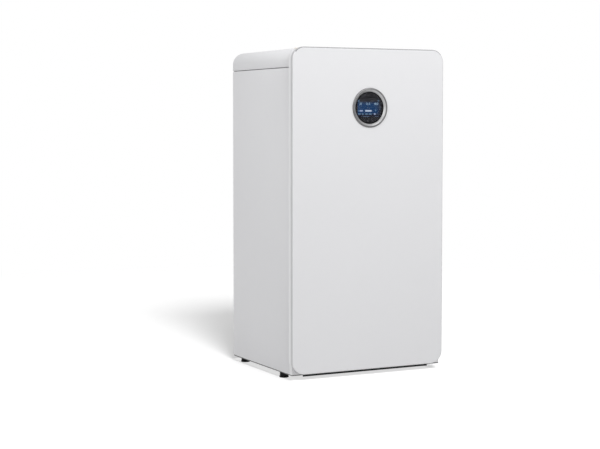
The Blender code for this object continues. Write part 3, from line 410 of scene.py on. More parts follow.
def addHex(shape, across, low, high, place, axis=upward, finish=0, bore=0.0, turn=0.0):
    # a hexagon with its corners turned off at both ends, and a bore where one is given
    flat, radius = across / 2, across / math.sqrt(3)
    rise = (radius - flat) * 0.6
    profile = [(flat * 0.97, low), (radius, low + rise), (radius, high - rise), (flat * 0.97, high)]
    if bore:
        profile += [(bore, high), (bore, low)]

    def hexagon(reach, i):
        return min(flat / cos(2 * pi * i / 48 % (pi / 3) - pi / 6), reach)

    addTurned(shape, profile, place, axis, 48, finish, bool(bore), hexagon, turn)


def addBox(shape, low, high, rounding=0.001, finish=0, steps=2):
    # a box with rounded edges
    low, high = Vector(low), Vector(high)
    made = bmesh.ops.create_cube(shape, size=1.0)
    matrix = Matrix.Translation((low + high) / 2) @ Matrix.Diagonal((*(high - low), 1.0))
    bmesh.ops.transform(shape, matrix=matrix, verts=made["verts"])
    if rounding:
        edges = list({edge for vert in made["verts"] for edge in vert.link_edges})
        made = bmesh.ops.bevel(shape, geom=edges, offset=rounding, segments=steps, affect="EDGES",
                               profile=0.5)
    for face in {face for vert in made["verts"] for face in vert.link_faces}:
        face.material_index = finish


def addBlock(shape, place, sides, rounding=0.001, finish=0):
    # a box by its sides' distances from a place: half its width, then near and far, low and high
    half, near, far, low, high = sides
    x, y, z = place
    addBox(shape, (x - half, y + near, z + low), (x + half, y + far, z + high), rounding, finish)


def roundRoute(corners, bend, steps=10):
    # the corners of a centre line, each rounded to the bend's radius
    corners = [Vector(corner) for corner in corners]
    route = [corners[0]]
    for before, corner, after in zip(corners, corners[1:], corners[2:]):
        inward, outward = (before - corner).normalized(), (after - corner).normalized()
        half = inward.angle(outward) / 2
        centre = corner + (inward + outward).normalized() * bend / sin(half)
        start, end = [corner + arm * (bend / math.tan(half)) - centre for arm in (inward, outward)]
        sweep = start.angle(end)
        for i in range(steps + 1):
            part = sweep * i / steps
            route.append(centre + (start * sin(sweep - part) + end * sin(part)) / sin(sweep))
    return route + [corners[-1]]


def addTube(shape, route, radius, sides):
    # a round tube along a route, carried along without twist
    route = [Vector(point) for point in route]
    along = (route[1] - route[0]).normalized()
    side = along.orthogonal().normalized()
    rows = []
    for i, point in enumerate(route):
        before = (point - route[i - 1]).normalized() if i else along
        after = (route[i + 1] - point).normalized() if i < len(route) - 1 else before
        along = (before + after).normalized()
        side = (side - along * side.dot(along)).normalized()
        other = along.cross(side)
        reach = radius / max(0.5, cos(before.angle(after, 0.0) / 2))
        turns = [2 * pi * k / sides for k in range(sides)]
        rows.append([point + (side * cos(turn) + other * sin(turn)) * reach for turn in turns])
    addRows(shape, rows)


def addBead(shape, radius, height, size, place, axis=upward, finish=0, steps=48):
    # a round bead of weld or solder about an axis
    profile = arcPoints((radius, height), size, 0, 324, 9)
    addTurned(shape, profile, place, axis, steps, finish, True)


def addBolt(shape, place, across=0.013, finish=0):
    # washer, hexagon head and the domed end of the thread
    washer = [(across * 0.86, 0.0), (across * 0.90, 0.0004), (across * 0.90, 0.0014), (across * 0.84, 0.0018)]
    thread = [(across * 0.28, across * 0.5), (across * 0.28, across * 0.76), (across * 0.16, across * 0.84)]
    addTurned(shape, washer, place, steps=32, finish=finish)
    addHex(shape, across, 0.0017, across * 0.62, place, finish=finish)
    addTurned(shape, thread, place, steps=20, finish=finish)


screwHead = (0.0042, 0.0012)    # radius and height


def addScrewHead(shape, place, axis, finish=0, slotFinish=1):
    # a low domed head with a cross recess shown by two dark bars
    radius, rise = screwHead
    shares = ((1.0, 0.0), (0.97, 0.45), (0.80, 0.85), (0.45, 1.0))
    profile = [(radius * wide, rise * high) for wide, high in shares]
    addTurned(shape, profile, place, axis, 24, finish)
    along, side, other = axisFrame(axis)
    for first, second in ((side, other), (other, side)):
        rows = []
        for height in (rise * 0.8, rise * 1.03):
            centre = Vector(place) + along * height
            rows.append([centre + first * (radius * 0.5 * a) + second * (radius * 0.11 * b)
                         for a, b in ((-1, -1), (1, -1), (1, 1), (-1, 1))])
        addRows(shape, rows, slotFinish)


def addCableEntry(shape, spot, across, tall, cap, finish=0, steps=24):
    # a hexagon and its cap, pointing down from a housing
    addHex(shape, across, 0.0, tall, spot, (0, 0, -1), finish)
    addTurned(shape, cap, spot, (0, 0, -1), steps, finish)


def putInScene(name, data, place=(0, 0, 0), turn=(0, 0, 0)):
    made = bpy.data.objects.new(name, data)
    made.location, made.rotation_euler = place, turn
    bpy.context.scene.collection.objects.link(made)
    return made


def finishPiece(name, shape, materials, node=None, body="cabinet", sharp=32):
    # turns the gathered shape into a piece that rides on its body and stands for a node
    bmesh.ops.recalc_face_normals(shape, faces=shape.faces)
    data = bpy.data.meshes.new(name)
    shape.to_mesh(data)
    shape.free()
    data.shade_smooth()
    data.set_sharp_from_angle(angle=radians(sharp))
    for material in [materials] if isinstance(materials, str) else materials:
        data.materials.append(finishes[material])
    piece = putInScene(name, data)
    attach(piece, body)
    if node:
        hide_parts(node)
    return piece


def thicken(piece, wall):
    # gives an open surface its wall, inwards, and applies the modifier
    sheet = piece.modifiers.new("sheet", "SOLIDIFY")
    sheet.thickness = wall
    sheet.offset = -1.0
    sheet.use_even_offset = True
    solid = bpy.data.meshes.new_from_object(piece.evaluated_get(bpy.context.evaluated_depsgraph_get()))
    piece.modifiers.clear()
    piece.data = solid


def makeNumber(name, text, size, place, finish, body="cabinet", turn=(90, 0, 0), thick=0.00005):
    data = bpy.data.curves.new(name, "FONT")
    data.body = text
    data.size = size
    data.align_x, data.align_y = "CENTER", "CENTER"
    data.extrude = thick
    data.offset = size * 0.022
    data.materials.append(finishes[finish])
    piece = putInScene(name, data, place, [radians(part) for part in turn])
    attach(piece, body)


# Stage: floor, backdrop, lamps and camera

stage = {
    "floorSize": 40.0,
    "floorBounce": 0.24,      # what the floor gives back to the object
    "floorShade": 0.39,       # how much of its own light the camera sees on the floor
    "floorLift": 0.33,        # and how much plain white
    # painted light: the floor below the cabinet is lifted, so the shadow in its gap stays pale
    "paintedLightUnder": 1.02,        # more of that below the cabinet, whose gap stays pale
    "underHalf": 0.285,
    "underSoft": 0.02,
    "fadeStart": 2.2,
    "fadeEnd": 3.6,
    "worldFill": 0.57,
    "topBox": {"energy": 34.5, "size": 1.6, "place": (0.5, -2.2, 2.5)},
    "leftBox": {"energy": 50.0, "size": 2.0, "place": (-3.6, -1.6, 2.4)},
    "boxAim": (0.0, -0.25, 0.7),
    "floorSun": 5.9,          # casts the object's shadow on the floor and lights nothing else
    "sunTurn": 13.5,          # degrees to the right of the object's front
    "sunRise": 36.0,
    "sunSpread": 16.0,
}

camera = {"place": (-2.4515, -4.5951, 0.8957), "yaw": 26.722, "pitch": 3.209, "lens": 85.612, "shiftY": -0.04}


def mixShader(tree, mask, first, second):
    return addNode(tree, "MixShader", {0: mask, 1: first, 2: second}).outputs[0]


def seenRay(tree):
    # 1 for rays that the camera, a reflection or a glass sends
    path = addNode(tree, "LightPath").outputs
    seen = total(tree, path["Is Camera Ray"], path["Is Glossy Ray"])
    return total(tree, seen, path["Is Transmission Ray"], True)


def makeFloor():
    material = bpy.data.materials.new("paleFloor")
    material.use_nodes = True
    tree = material.node_tree
    tree.nodes.clear()
    shade, bounce, lift = [(stage[key],) * 3 + (1.0,) for key in ("floorShade", "floorBounce", "floorLift")]
    place = addNode(tree, "SeparateXYZ", {0: objectPlace(tree)}).outputs
    # painted light on the floor below the cabinet, which lifts the shadow there
    start, end = stage["underHalf"] - stage["underSoft"], stage["underHalf"] + stage["underSoft"]
    inside = [ramp(tree, mathNode(tree, "ABSOLUTE", place[axis]), start, end, 1.0, 0.0) for axis in "XY"]
    under = product(tree, product(tree, *inside), stage["paintedLightUnder"])
    glow = addNode(tree, "Emission", {"Color": lift, "Strength": total(tree, under, 1.0)}).outputs[0]
    lit = addNode(tree, "BsdfDiffuse", {"Color": shade}).outputs[0]
    near = addNode(tree, "AddShader", {0: lit, 1: glow}).outputs[0]
    back = addNode(tree, "BsdfDiffuse", {"Color": bounce}).outputs[0]
    white = addNode(tree, "Emission", {"Color": (1.0, 1.0, 1.0, 1.0), "Strength": 1.0}).outputs[0]
    length = vectorNode(tree, "LENGTH", objectPlace(tree))["Value"]
    seen = mixShader(tree, ramp(tree, length, stage["fadeStart"], stage["fadeEnd"]), near, white)
    addNode(tree, "OutputMaterial", {"Surface": mixShader(tree, seenRay(tree), back, seen)})
    half = stage["floorSize"] / 2
    data = bpy.data.meshes.new("studioFloor")
    corners = [(-half, -half, 0), (half, -half, 0), (half, half, 0), (-half, half, 0)]
    data.from_pydata(corners, [], [(0, 1, 2, 3)])
    data.materials.append(material)
    floor = putInScene("studioFloor", data)
    return floor


def makeWorld():
    world = bpy.data.worlds.new("studioWorld")
    world.use_nodes = True
    tree = world.node_tree
    tree.nodes.clear()
    fill, white = [addNode(tree, "Background", {"Color": (1, 1, 1, 1), "Strength": strength}).outputs[0]
                   for strength in (stage["worldFill"], 1.0)]
    addNode(tree, "OutputWorld", {"Surface": mixShader(tree, seenRay(tree), fill, white)})
    bpy.context.scene.world = world


def makeLamps(floor):
    for name in ("topBox", "leftBox"):
        box = bpy.data.lights.new(name, "AREA")
        box.energy, box.size = stage[name]["energy"], stage[name]["size"]
        place = Vector(stage[name]["place"])
        aim = Vector(stage["boxAim"]) - place
        putInScene(name, box, place, aim.to_track_quat("-Z", "Y").to_euler())
    sun = bpy.data.lights.new("floorSun", "SUN")
    sun.energy, sun.angle = stage["floorSun"], radians(stage["sunSpread"])
    turn, rise = radians(stage["sunTurn"]), radians(stage["sunRise"])
    towards = Vector((sin(turn) * cos(rise), cos(turn) * cos(rise), -sin(rise)))
    lamp = putInScene("floorSun", sun, turn=towards.to_track_quat("-Z", "Y").to_euler())
    lit = bpy.data.collections.new("floorOnly")
    lit.objects.link(floor)
    lamp.light_linking.receiver_collection = lit


def makeCamera():
    data = bpy.data.cameras.new("photoCamera")
    data.lens, data.sensor_width, data.shift_y = camera["lens"], 36.0, camera["shiftY"]
    turn = (radians(90.0 - camera["pitch"]), 0.0, radians(-camera["yaw"]))
    bpy.context.scene.camera = putInScene("photoCamera", data, camera["place"], turn)


floor = makeFloor()
makeWorld()
makeLamps(floor)
makeCamera()
bpy.context.scene.view_settings.view_transform = "Standard"
print("stage, lamps and camera ready")


# Finishes of the CAD nodes that stay in view

nodeFinishes = {
    "zincSheet": ("connection_plate", "divider_shelf", "electrical_box"),
    "trayPaint": ("base_tray",),
    "framePaint": ("frame_left_post", "frame_right_post"),
    "sidePaint": ("electrical_cover",),
    "blackPlastic": ("display_housing", "breaker_toggle"),
    "breakerPlastic": ("breaker",),
    "stainless": ("brine_pump_rotor", "heating_pump_rotor"),
    "solderMask": ("control_board",),
}
for finish, members in nodeFinishes.items():
    for node in members:
        for slot in nodes[node].material_slots:
            slot.material = finishes[finish]
print("CAD nodes dressed")


# Front panel: pressed sheet with a rolled edge, a rear flange and four snap studs, and its foam lining

door = {
    "corner": 0.045, "edge": 0.003, "sheet": 0.0015, "depth": 0.016, "flange": 0.024, "hole": 0.0662,
    "studInset": 0.014, "studFromEnd": 0.120, "studRadius": 0.004, "studLength": 0.014,
    "longest": 0.03, "margin": 0.02, "band": range(5, 12),
}
lining = {"edge": 0.0045, "gap": 0.0018, "round": 0.003, "eye": 0.0674, "eyeRound": 0.002}
doorLow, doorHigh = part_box("front_panel")
glassLow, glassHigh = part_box("display_glass")
eye = (0.0, (glassLow.z + glassHigh.z) / 2)


def doorRow(inset, y):
    outline = boxOutline(doorLow, doorHigh, inset, door["corner"] - inset, 16)
    return [(x, y, z) for x, z in splitLong(outline, door["longest"])]


def eyeRow(guide, radius, y):
    # a circle about the display with one point for each point of the guide row
    row = []
    for x, _, z in guide:
        reach = math.hypot(x - eye[0], z - eye[1])
        row.append((eye[0] + (x - eye[0]) / reach * radius, y, eye[1] + (z - eye[1]) / reach * radius))
    return row


def makeDoor():
    shape = bmesh.new()
    front, edge, sheet, flange, hole = doorLow.y, *(door[key] for key in ("edge", "sheet", "flange", "hole"))
    rear, wide = front + door["depth"], hole + door["margin"]
    guide = doorRow(edge, front)
    turns = [radians(15 * step) for step in range(7)]
    path = [(edge * (1 - sin(turn)), front + edge * (1 - cos(turn))) for turn in turns]
    path += [(0.0, rear - 0.0012), (0.0004, rear - 0.0003), (0.0014, rear), (flange - 0.0005, rear),
             (flange, rear - sheet / 2), (flange, rear - sheet), (sheet + 0.0005, rear - sheet),
             (sheet, rear - sheet - 0.0005), (sheet, front + edge), (edge, front + sheet)]
    rows = [eyeRow(guide, hole, front), eyeRow(guide, wide, front), doorRow(edge + 0.001, front)]
    rows += [doorRow(*point) for point in path]
    rows += [eyeRow(guide, wide, front + sheet), eyeRow(guide, hole, front + sheet)]
    # painted shade: a darker outline round the panel's side and rolled edge, darkest along the top; on the
    # left it starts deeper
    band = [int(pair in door["band"]) for pair in range(len(rows))]
    middle = (doorLow.z + doorHigh.z) / 2
    for face in addRows(shape, rows, band, loop=True):
        face.normal_update()
        spot, lean = face.calc_center_median(), face.normal
        reach = math.hypot(lean.x, lean.z)
        if front + 0.00001 < spot.y < front + edge and reach > 0.01:
            if spot.z > middle and abs(lean.z) > 0.6 * reach:
                face.material_index = 2
            elif abs(lean.x) > 0.6 * reach:
                face.material_index = int(spot.x > 0 or spot.y > front + edge * 0.4)
    radius, length = door["studRadius"], door["studLength"]
    waist = [(radius, -0.0004), (radius, length * 0.35), (radius * 0.72, length * 0.48),
             (radius * 0.72, length * 0.56), (radius, length * 0.72), (radius * 0.94, length * 0.86),
             (radius * 0.5, length)]
    for x in (doorLow.x + door["studInset"], doorHigh.x - door["studInset"]):
        for z in (doorLow.z + door["studFromEnd"], doorHigh.z - door["studFromEnd"]):
            addTurned(shape, waist, (x, rear, z), (0, 1, 0), 24)
    finishPiece("pressedDoor", shape, ["doorPaint", "edgeTrim", "edgeShade"], "front_panel",
                "front_panel")


def makeLining():
    # foam board inside the panel, with rounded edges all round
    shape = bmesh.new()
    near, far = doorLow.y + lining["gap"], doorLow.y + door["depth"] - lining["gap"]
    edge, soft, hole, bevel = (lining[key] for key in ("edge", "round", "eye", "eyeRound"))
    guide = doorRow(door["edge"], near)
    turns = [radians(30 * step) for step in range(4)]
    path = [(edge + soft * (1 - sin(turn)), near + soft * (1 - cos(turn))) for turn in turns]
    path += [(edge + soft * (1 - cos(turn)), far - soft * (1 - sin(turn))) for turn in turns]
    rows = [eyeRow(guide, hole + bevel, near)] + [doorRow(*point) for point in path]
    rows += [eyeRow(guide, hole + bevel, far), eyeRow(guide, hole, far - bevel),
             eyeRow(guide, hole, near + bevel)]
    addRows(shape, rows, loop=True)
    piece = finishPiece("foamLining", shape, "foam", "front_panel_insulation", "front_panel")


makeDoor()
makeLining()
print("front panel made")


# Display: turned ring, dark window, lit screen with plain bars and numbers

ringLow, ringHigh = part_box("display_bezel")
screenLow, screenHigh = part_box("display_screen")
display = {
    "inner": 0.056, "skirt": 0.003, "crest": 0.0622, "rise": 0.0034, "lip": 0.0009, "swell": 1.06,
    "maskRound": 0.003, "maskEdge": 0.0525, "maskHole": 0.0062, "bright": 1.0,
    "skyTop": (0.026, 0.026, 0.030), "band": (0.011, 0.052, 0.150), "base": (0.013, 0.013, 0.024),
    "fadeRight": (0.026, 0.048), "fadeAbove": (0.011, 0.025), "fadeBelow": (-0.027, -0.015),
    "maskProud": 0.00018, "barProud": 0.0003, "numberProud": 0.00008, "numberSize": 0.0098,
    "numberRise": 0.0135, "longest": 0.006,
}
lights = {
    "White": (0.62, 0.72, 0.90),
    "Pale": (0.38, 0.46, 0.68),
    "Blue": (0.14, 0.25, 0.40),
    "Dim": (0.085, 0.12, 0.19),
    "Sky": (0.34, 0.50, 0.66),
}
# the bars of each light: left, right, bottom and top in millimetres from the screen's centre
screenBars = {
    "White": ((-16.0, 9.0, -13.4, -7.9),),
    "Pale": ((-38.0, -25.5, -13.2, -8.2), (18.5, 25.0, -24.4, -19.0)),
    "Blue": ((-45.5, -39.5, -12.4, -9.4), (23.0, 28.0, -11.2, -6.2), (-44.5, -34.5, -24.0, -19.8),
             (-29.0, -22.5, -24.0, -19.8), (-15.5, -6.0, -24.0, -19.8), (-1.5, 9.5, -24.0, -19.8),
             (-43.0, -39.5, 20.0, 27.0), (34.0, 38.0, 22.4, 26.8)),
    "Dim": ((27.0, 37.0, -22.8, -20.8), (-26.0, 0.0, -31.6, -28.8), (22.0, 37.0, -31.0, -28.8),
            (41.6, 44.0, -8.0, 5.0), (-45.0, -25.0, 8.0, 8.8), (-45.0, -29.0, 3.6, 4.4),
            (-45.0, -31.0, -0.8, 0.0), (-7.0, 1.0, 0.8, 1.8), (-7.0, -6.0, -3.6, 0.8), (0.0, 1.0, -3.6, 0.8),
            (20.0, 38.0, 9.4, 10.2), (20.0, 34.0, 4.8, 5.6)),
}
screenNumbers = ((-34.0, "35"), (-4.5, "21.5"), (27.5, "48.0"))


def makeRing():
    shape = bmesh.new()
    outer, inner, skirt = ringHigh.x, display["inner"], display["inner"] + display["skirt"]
    crest, rise = display["crest"], display["rise"]
    depth, sunk = ringHigh.y - doorLow.y, glassLow.y - doorLow.y + 0.0004
    profile = [(inner, -depth), (inner, -sunk), (inner + 0.0003, -sunk + 0.0004),
               (crest - 0.0003, rise - 0.0003), (crest + 0.0003, rise)]
    funnel = len(profile) - 1
    for step in range(1, 9):
        turn = pi / 2 * step / 8
        fall = display["lip"] + (rise - 0.0003) * cos(turn) ** 0.7 * display["swell"]
        profile.append((crest + (outer - crest) * sin(turn), fall))
    profile += [(outer, 0.0004), (outer - 0.0004, 0.0003), (skirt, 0.0003), (skirt, -depth)]
    tones = [int(pair >= funnel) for pair in range(len(profile))]
    addTurned(shape, profile, (eye[0], doorLow.y, eye[1]), forward, 144, tones, True)
    finishPiece("turnedRing", shape, ["satinMetal", "ringEdge"], "display_bezel",
                "front_panel", 40)


def makeWindowGlass():
    made, tree, shader = startMaterial("windowGlass")
    smear = useEffect(tree, "mottle", (18.0, 0.6))
    tone = mixColour(tree, smear, (0.80, 0.81, 0.83), (0.74, 0.75, 0.77))
    setInputs(tree, shader, {"Base Color": tone, "Roughness": ramp(tree, smear, 0.0, 1.0, 0.0, 0.04),
                             "Transmission Weight": 1.0, "IOR": 1.12})
    return made


def makeScreenLight(name, colour, banded=False):
    # a lit layer of the screen; the banded one goes from grey through blue to black
    made, tree, shader = startMaterial(name)
    flicker = useEffect(tree, "mottle", (90.0, 0.5))
    tone = mixColour(tree, flicker, colour, tuple(0.86 * part for part in colour))
    if banded:
        place, middle = addNode(tree, "SeparateXYZ", {0: objectPlace(tree)}).outputs, eye[1]
        right = ramp(tree, place["X"], *display["fadeRight"])
        above, lit = [ramp(tree, place["Z"], *[middle + rise for rise in display[key]])
                      for key in ("fadeAbove", "fadeBelow")]
        for mask in (right, above):
            tone = mixColour(tree, mask, tone, display["skyTop"])
        tone = mixColour(tree, lit, display["base"], tone)
    setInputs(tree, shader, {"Base Color": (0.004, 0.004, 0.005, 1.0), "Specular IOR Level": 0.1,
                             "Emission Strength": display["bright"], "Emission Color": tone})
    return made


def makeScreen():
    finishes["windowGlass"] = makeWindowGlass()
    finishes["lightBand"] = makeScreenLight("lightBand", display["band"], True)
    for name, colour in lights.items():
        finishes["light" + name] = makeScreenLight("light" + name, colour)
    shape = bmesh.new()
    radius, soft, deep = glassHigh.x, 0.0005, glassHigh.y - glassLow.y
    profile = [(radius - soft, 0.0), (radius, soft), (radius, deep - soft), (radius - soft, deep)]
    addTurned(shape, profile, (eye[0], glassLow.y, eye[1]), (0, 1, 0), 96)
    finishPiece("displayWindow", shape, "windowGlass", "display_glass", "front_panel", 40)
    shape = bmesh.new()
    addBox(shape, screenLow, screenHigh, 0.0006)
    finishPiece("litScreen", shape, "lightBand", "display_screen", "front_panel")
    # the black border printed round the screen
    shape = bmesh.new()
    front = screenLow.y - display["maskProud"]
    outline = boxOutline(screenLow, screenHigh, 0.0005, display["maskRound"], 6)
    outline = splitLong(outline, display["longest"])
    near, far = [[(x, y, z) for x, z in outline] for y in (front, front + 0.001)]
    hole = display["inner"] + display["maskHole"]
    rows = [near, eyeRow(near, display["maskEdge"], front), eyeRow(near, hole, front),
            eyeRow(near, hole, front + 0.001), far]
    addRows(shape, rows, [0, 1, 1, 1, 1], loop=True)
    finishPiece("screenBorder", shape, ["maskTone", "maskEdge"], None, "front_panel")
    y, z, proud = screenLow.y, eye[1], display["barProud"]
    for light, bars in screenBars.items():
        shape = bmesh.new()
        for bar in bars:
            left, right, bottom, top = [edge / 1000 for edge in bar]
            addBox(shape, (left, y - proud, z + bottom), (right, y + proud, z + top), 0)
        finishPiece("screen" + light, shape, "light" + light, None, "front_panel")
    for number, (x, text) in enumerate(screenNumbers, start=1):
        spot = (x / 1000, y - display["numberProud"], z + display["numberRise"])
        makeNumber(f"screenNumber{number}", text, display["numberSize"], spot, "lightSky",
                   "front_panel")


makeRing()
makeScreen()
print("display made")


# Cabinet shell: side panels, top cover, frame arch and back panel

sideLow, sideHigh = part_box("right_side_panel")
shell = {
    "corner": 0.050, "round": 0.042, "sheet": 0.0015, "coverWall": 0.003, "return": 0.030, "topFold": 0.0030,
    "seamGap": 0.0006, "strip": (0.250, 0.004, 0.008, -0.0064, 0.0005), "steps": 14,
    "notch": (-0.0695, 0.2465, 0.189), "frameWidth": 0.028, "frameSoft": 0.001,
}


def planRow(inset, z, side=0):
    # the body from above; side picks the left or right panel, which ends at the back's return
    half, rear, corner = sideHigh.x - inset, sideHigh.y - inset, shell["corner"] - inset
    right = [(half, sideLow.y)] + arcPoints((half - corner, rear - corner), corner, 0, 90, shell["steps"])
    if side:
        right.append((sideHigh.x - shell["corner"] - shell["return"], rear))
        return [(x * side, y, z) for x, y in right]
    return [(x, y, z) for x, y in right + [(-x, y) for x, y in reversed(right)]]


def makeSidePanels():
    fold, low, top = shell["topFold"], sideLow.z, sideHigh.z - shell["seamGap"]
    path = [(0.0015, low), (0.0004, low + 0.0004), (0.0, low + 0.0015), (0.0, top - fold - 0.001)]
    path += foldPoints(fold, top, 6) + [(0.012, top)]
    for name, node, side in (("leftPanel", "left_side_panel", -1), ("rightPanel", "right_side_panel", 1)):
        shape = bmesh.new()
        addRows(shape, [planRow(*point, side) for point in path], ring=False)
        thicken(finishPiece(name, shape, "sidePaint", node), shell["sheet"])


def makeTopCover():
    shape = bmesh.new()
    coverLow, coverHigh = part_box("top_cover")
    low, top, edge = coverLow.z + shell["seamGap"], coverHigh.z, shell["round"]
    path = [(0.0034, low), (0.0016, low + 0.0006), (0.0005, low + 0.0016), (0.0, low + 0.0030)]
    path += foldPoints(edge, top, shell["steps"]) + [(edge + 0.001, top)]
    rows = [planRow(*point) for point in path]
    addRows(shape, rows, ring=False)
    shape.verts.ensure_lookup_table()
    shape.faces.new(shape.verts[-len(rows[0]):])
    # the notch round the connection plate
    left, right, back = shell["notch"]
    for place, across in (((left, 0, 0), (1, 0, 0)), ((right, 0, 0), (1, 0, 0)), ((0, back, 0), (0, 1, 0))):
        everything = shape.verts[:] + shape.edges[:] + shape.faces[:]
        bmesh.ops.bisect_plane(shape, geom=everything, plane_co=place, plane_no=across, dist=1e-6)
    middles = [(face, face.calc_center_median()) for face in shape.faces]
    inside = [face for face, middle in middles if left < middle.x < right and middle.y > back]
    bmesh.ops.delete(shape, geom=inside, context="FACES")
    cover = finishPiece("mouldedCover", shape, "coverPlastic", "top_cover")
    thicken(cover, shell["coverWall"])


def makeFrameArch():
    low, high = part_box("frame_top_rail")
    half, top = high.x, high.z
    radius, width, soft = [shell[key] for key in ("round", "frameWidth", "frameSoft")]
    small, level = radius - width, top - radius
    left, right = (radius - half, level), (half - radius, level)
    rows = []
    for y, inset in ((low.y, soft), (low.y + soft, 0.0), (high.y - soft, 0.0), (high.y, soft)):
        outer = [(inset - half, low.z)] + arcPoints(left, radius - inset, 180, 90, 16)
        outer += arcPoints(right, radius - inset, 90, 0, 16) + [(half - inset, low.z)]
        inner = [(half - width + inset, low.z)] + arcPoints(right, small + inset, 0, 90, 16)
        inner += arcPoints(left, small + inset, 90, 180, 16) + [(width - half - inset, low.z)]
        rows.append([(x, y, z) for x, z in outer + inner])
    shape = bmesh.new()
    addRows(shape, rows, caps=(False, False))
    shape.verts.ensure_lookup_table()
    count = len(rows[0])
    for first in (0, (len(rows) - 1) * count):
        for i in range(count // 2 - 1):
            j = count - 1 - i
            shape.faces.new([shape.verts[first + k] for k in (i, i + 1, j - 1, j)])
    finishPiece("frameArch", shape, "framePaint", "frame_top_rail")


backPanel = {
    "fieldSide": 0.030, "fieldRound": 0.030, "deep": 0.0045, "slope": 0.006, "hem": 0.014, "sheet": 0.0015,
    "screwFromSide": 0.012, "screwFromEnd": 0.03, "screwSunk": 0.0013, "louvreWidth": 0.110, "louvreRows": 8,
    "louvrePitch": 0.022, "louvreTall": 0.012, "louvreRise": 0.0045, "louvreStart": 0.13, "louvreX": 0.082,
    "louvrePaintedShade": (0.0495, 0.0002, 0.0012, -0.0016, 0.001),
}


def fieldRows(left, right, low, high, y):
    # a flat border, a sloped step and a flat floor: the pressed field of a sheet
    side, slope, corner = (backPanel[key] for key in ("fieldSide", "slope", "fieldRound"))
    steps = [(0.0, 0.0004, 0.0)]
    steps += [(side + slope * down, corner - slope * down, down) for down in (0.0, 0.22, 0.78, 1.0)]
    rows = []
    for inset, radius, down in steps:
        outline = roundedOutline(left + inset, right - inset, low + inset, high - inset, radius, 8)
        rows.append([(x, y - backPanel["deep"] * (0.5 - 0.5 * cos(pi * down)), z) for x, z in outline])
    return rows


def makeBackPanel():
    low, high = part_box("back_panel")
    shape = bmesh.new()
    middle = (low.z + high.z) / 2
    for bottom, top in ((low.z, middle), (middle, high.z)):
        addRows(shape, fieldRows(low.x, high.x, bottom, top, high.y), caps=(False, True))
    bmesh.ops.remove_doubles(shape, verts=shape.verts, dist=0.00005)
    # hems down both sides
    edges = [edge for edge in shape.edges if edge.is_boundary
             and all(abs(abs(vert.co.x) - high.x) < 0.001 for vert in edge.verts)]
    pulled = bmesh.ops.extrude_edge_only(shape, edges=edges)
    for vert in [item for item in pulled["geom"] if isinstance(item, bmesh.types.BMVert)]:
        vert.co.y -= backPanel["hem"]
    back = finishPiece("pressedBack", shape, "zincSheet", "back_panel")
    thicken(back, backPanel["sheet"])
    makeLouvres(middle, high)
    shape = bmesh.new()
    end = backPanel["screwFromEnd"]
    for x in (low.x + backPanel["screwFromSide"], high.x - backPanel["screwFromSide"]):
        for z in (low.z + end, (low.z + middle) / 2, middle, (middle + high.z) / 2, high.z - end):
            addScrewHead(shape, (x, high.y - backPanel["screwSunk"], z), (0, 1, 0))
    finishPiece("backScrews", shape, ["zincBolt", "rubber"])


def makeLouvres(middle, high):
    # hooded slots in the upper field, with a dark block under each hood as painted shade of its opening
    shape = bmesh.new()
    half, floor = backPanel["louvreWidth"] / 2, high.y - backPanel["deep"] - 0.0003
    tall, rise = backPanel["louvreTall"], backPanel["louvreRise"]
    for number in range(backPanel["louvreRows"]):
        z = middle + backPanel["louvreStart"] + number * backPanel["louvrePitch"]
        for x in (-backPanel["louvreX"], backPanel["louvreX"]):
            rows = []
            for step in range(17):
                across = cos(pi * step / 16)
                swell = max(0.02, (1 - abs(across) ** 5)) ** 0.5
                hood = [(floor + rise * swell * sin(turn), z + tall * swell * cos(turn))
                        for turn in (pi / 16 * i for i in range(9))] + [(floor, z)]
                rows.append([(x - half * across, y, height) for y, height in hood])
            addRows(shape, rows)
            # painted shade: a dark block where the slot's opening would be
            addBlock(shape, (x, floor, z), backPanel["louvrePaintedShade"], 0, 1)
    finishPiece("backLouvres", shape, ["zincSheet", "maskEdge"])


def makeKickStrip():
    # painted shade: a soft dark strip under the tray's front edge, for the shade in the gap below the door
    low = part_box("base_tray")[0]
    shape = bmesh.new()
    addBlock(shape, (0.0, low.y, low.z), shell["strip"])
    finishPiece("paintedShadeStrip", shape, "maskEdge")


makeKickStrip()
makeSidePanels()
makeTopCover()
makeFrameArch()
makeBackPanel()
print("cabinet shell made")


# Levelling feet: rubber pad, fluted body and zinc stem

foot = {
    "pad": 0.0165, "body": 0.0150, "stem": 0.005, "steps": 72, "flutes": 12, "fluteDepth": 0.05,
    "thread": 0.0004, "pitch": 0.0008,
    "padRim": ((-0.0010, 0.0), (0.0, 0.0010), (0.0, 0.0022), (-0.0006, 0.0027), (0.0, 0.0032), (0.0, 0.0046),
               (-0.0008, 0.0054), (-0.0045, 0.0058)),
}


def flute(reach, i):
    hollow = max(0.0, cos(foot["flutes"] * 2 * pi * i / foot["steps"])) ** 2
    return reach * (1 - foot["fluteDepth"] * hollow)


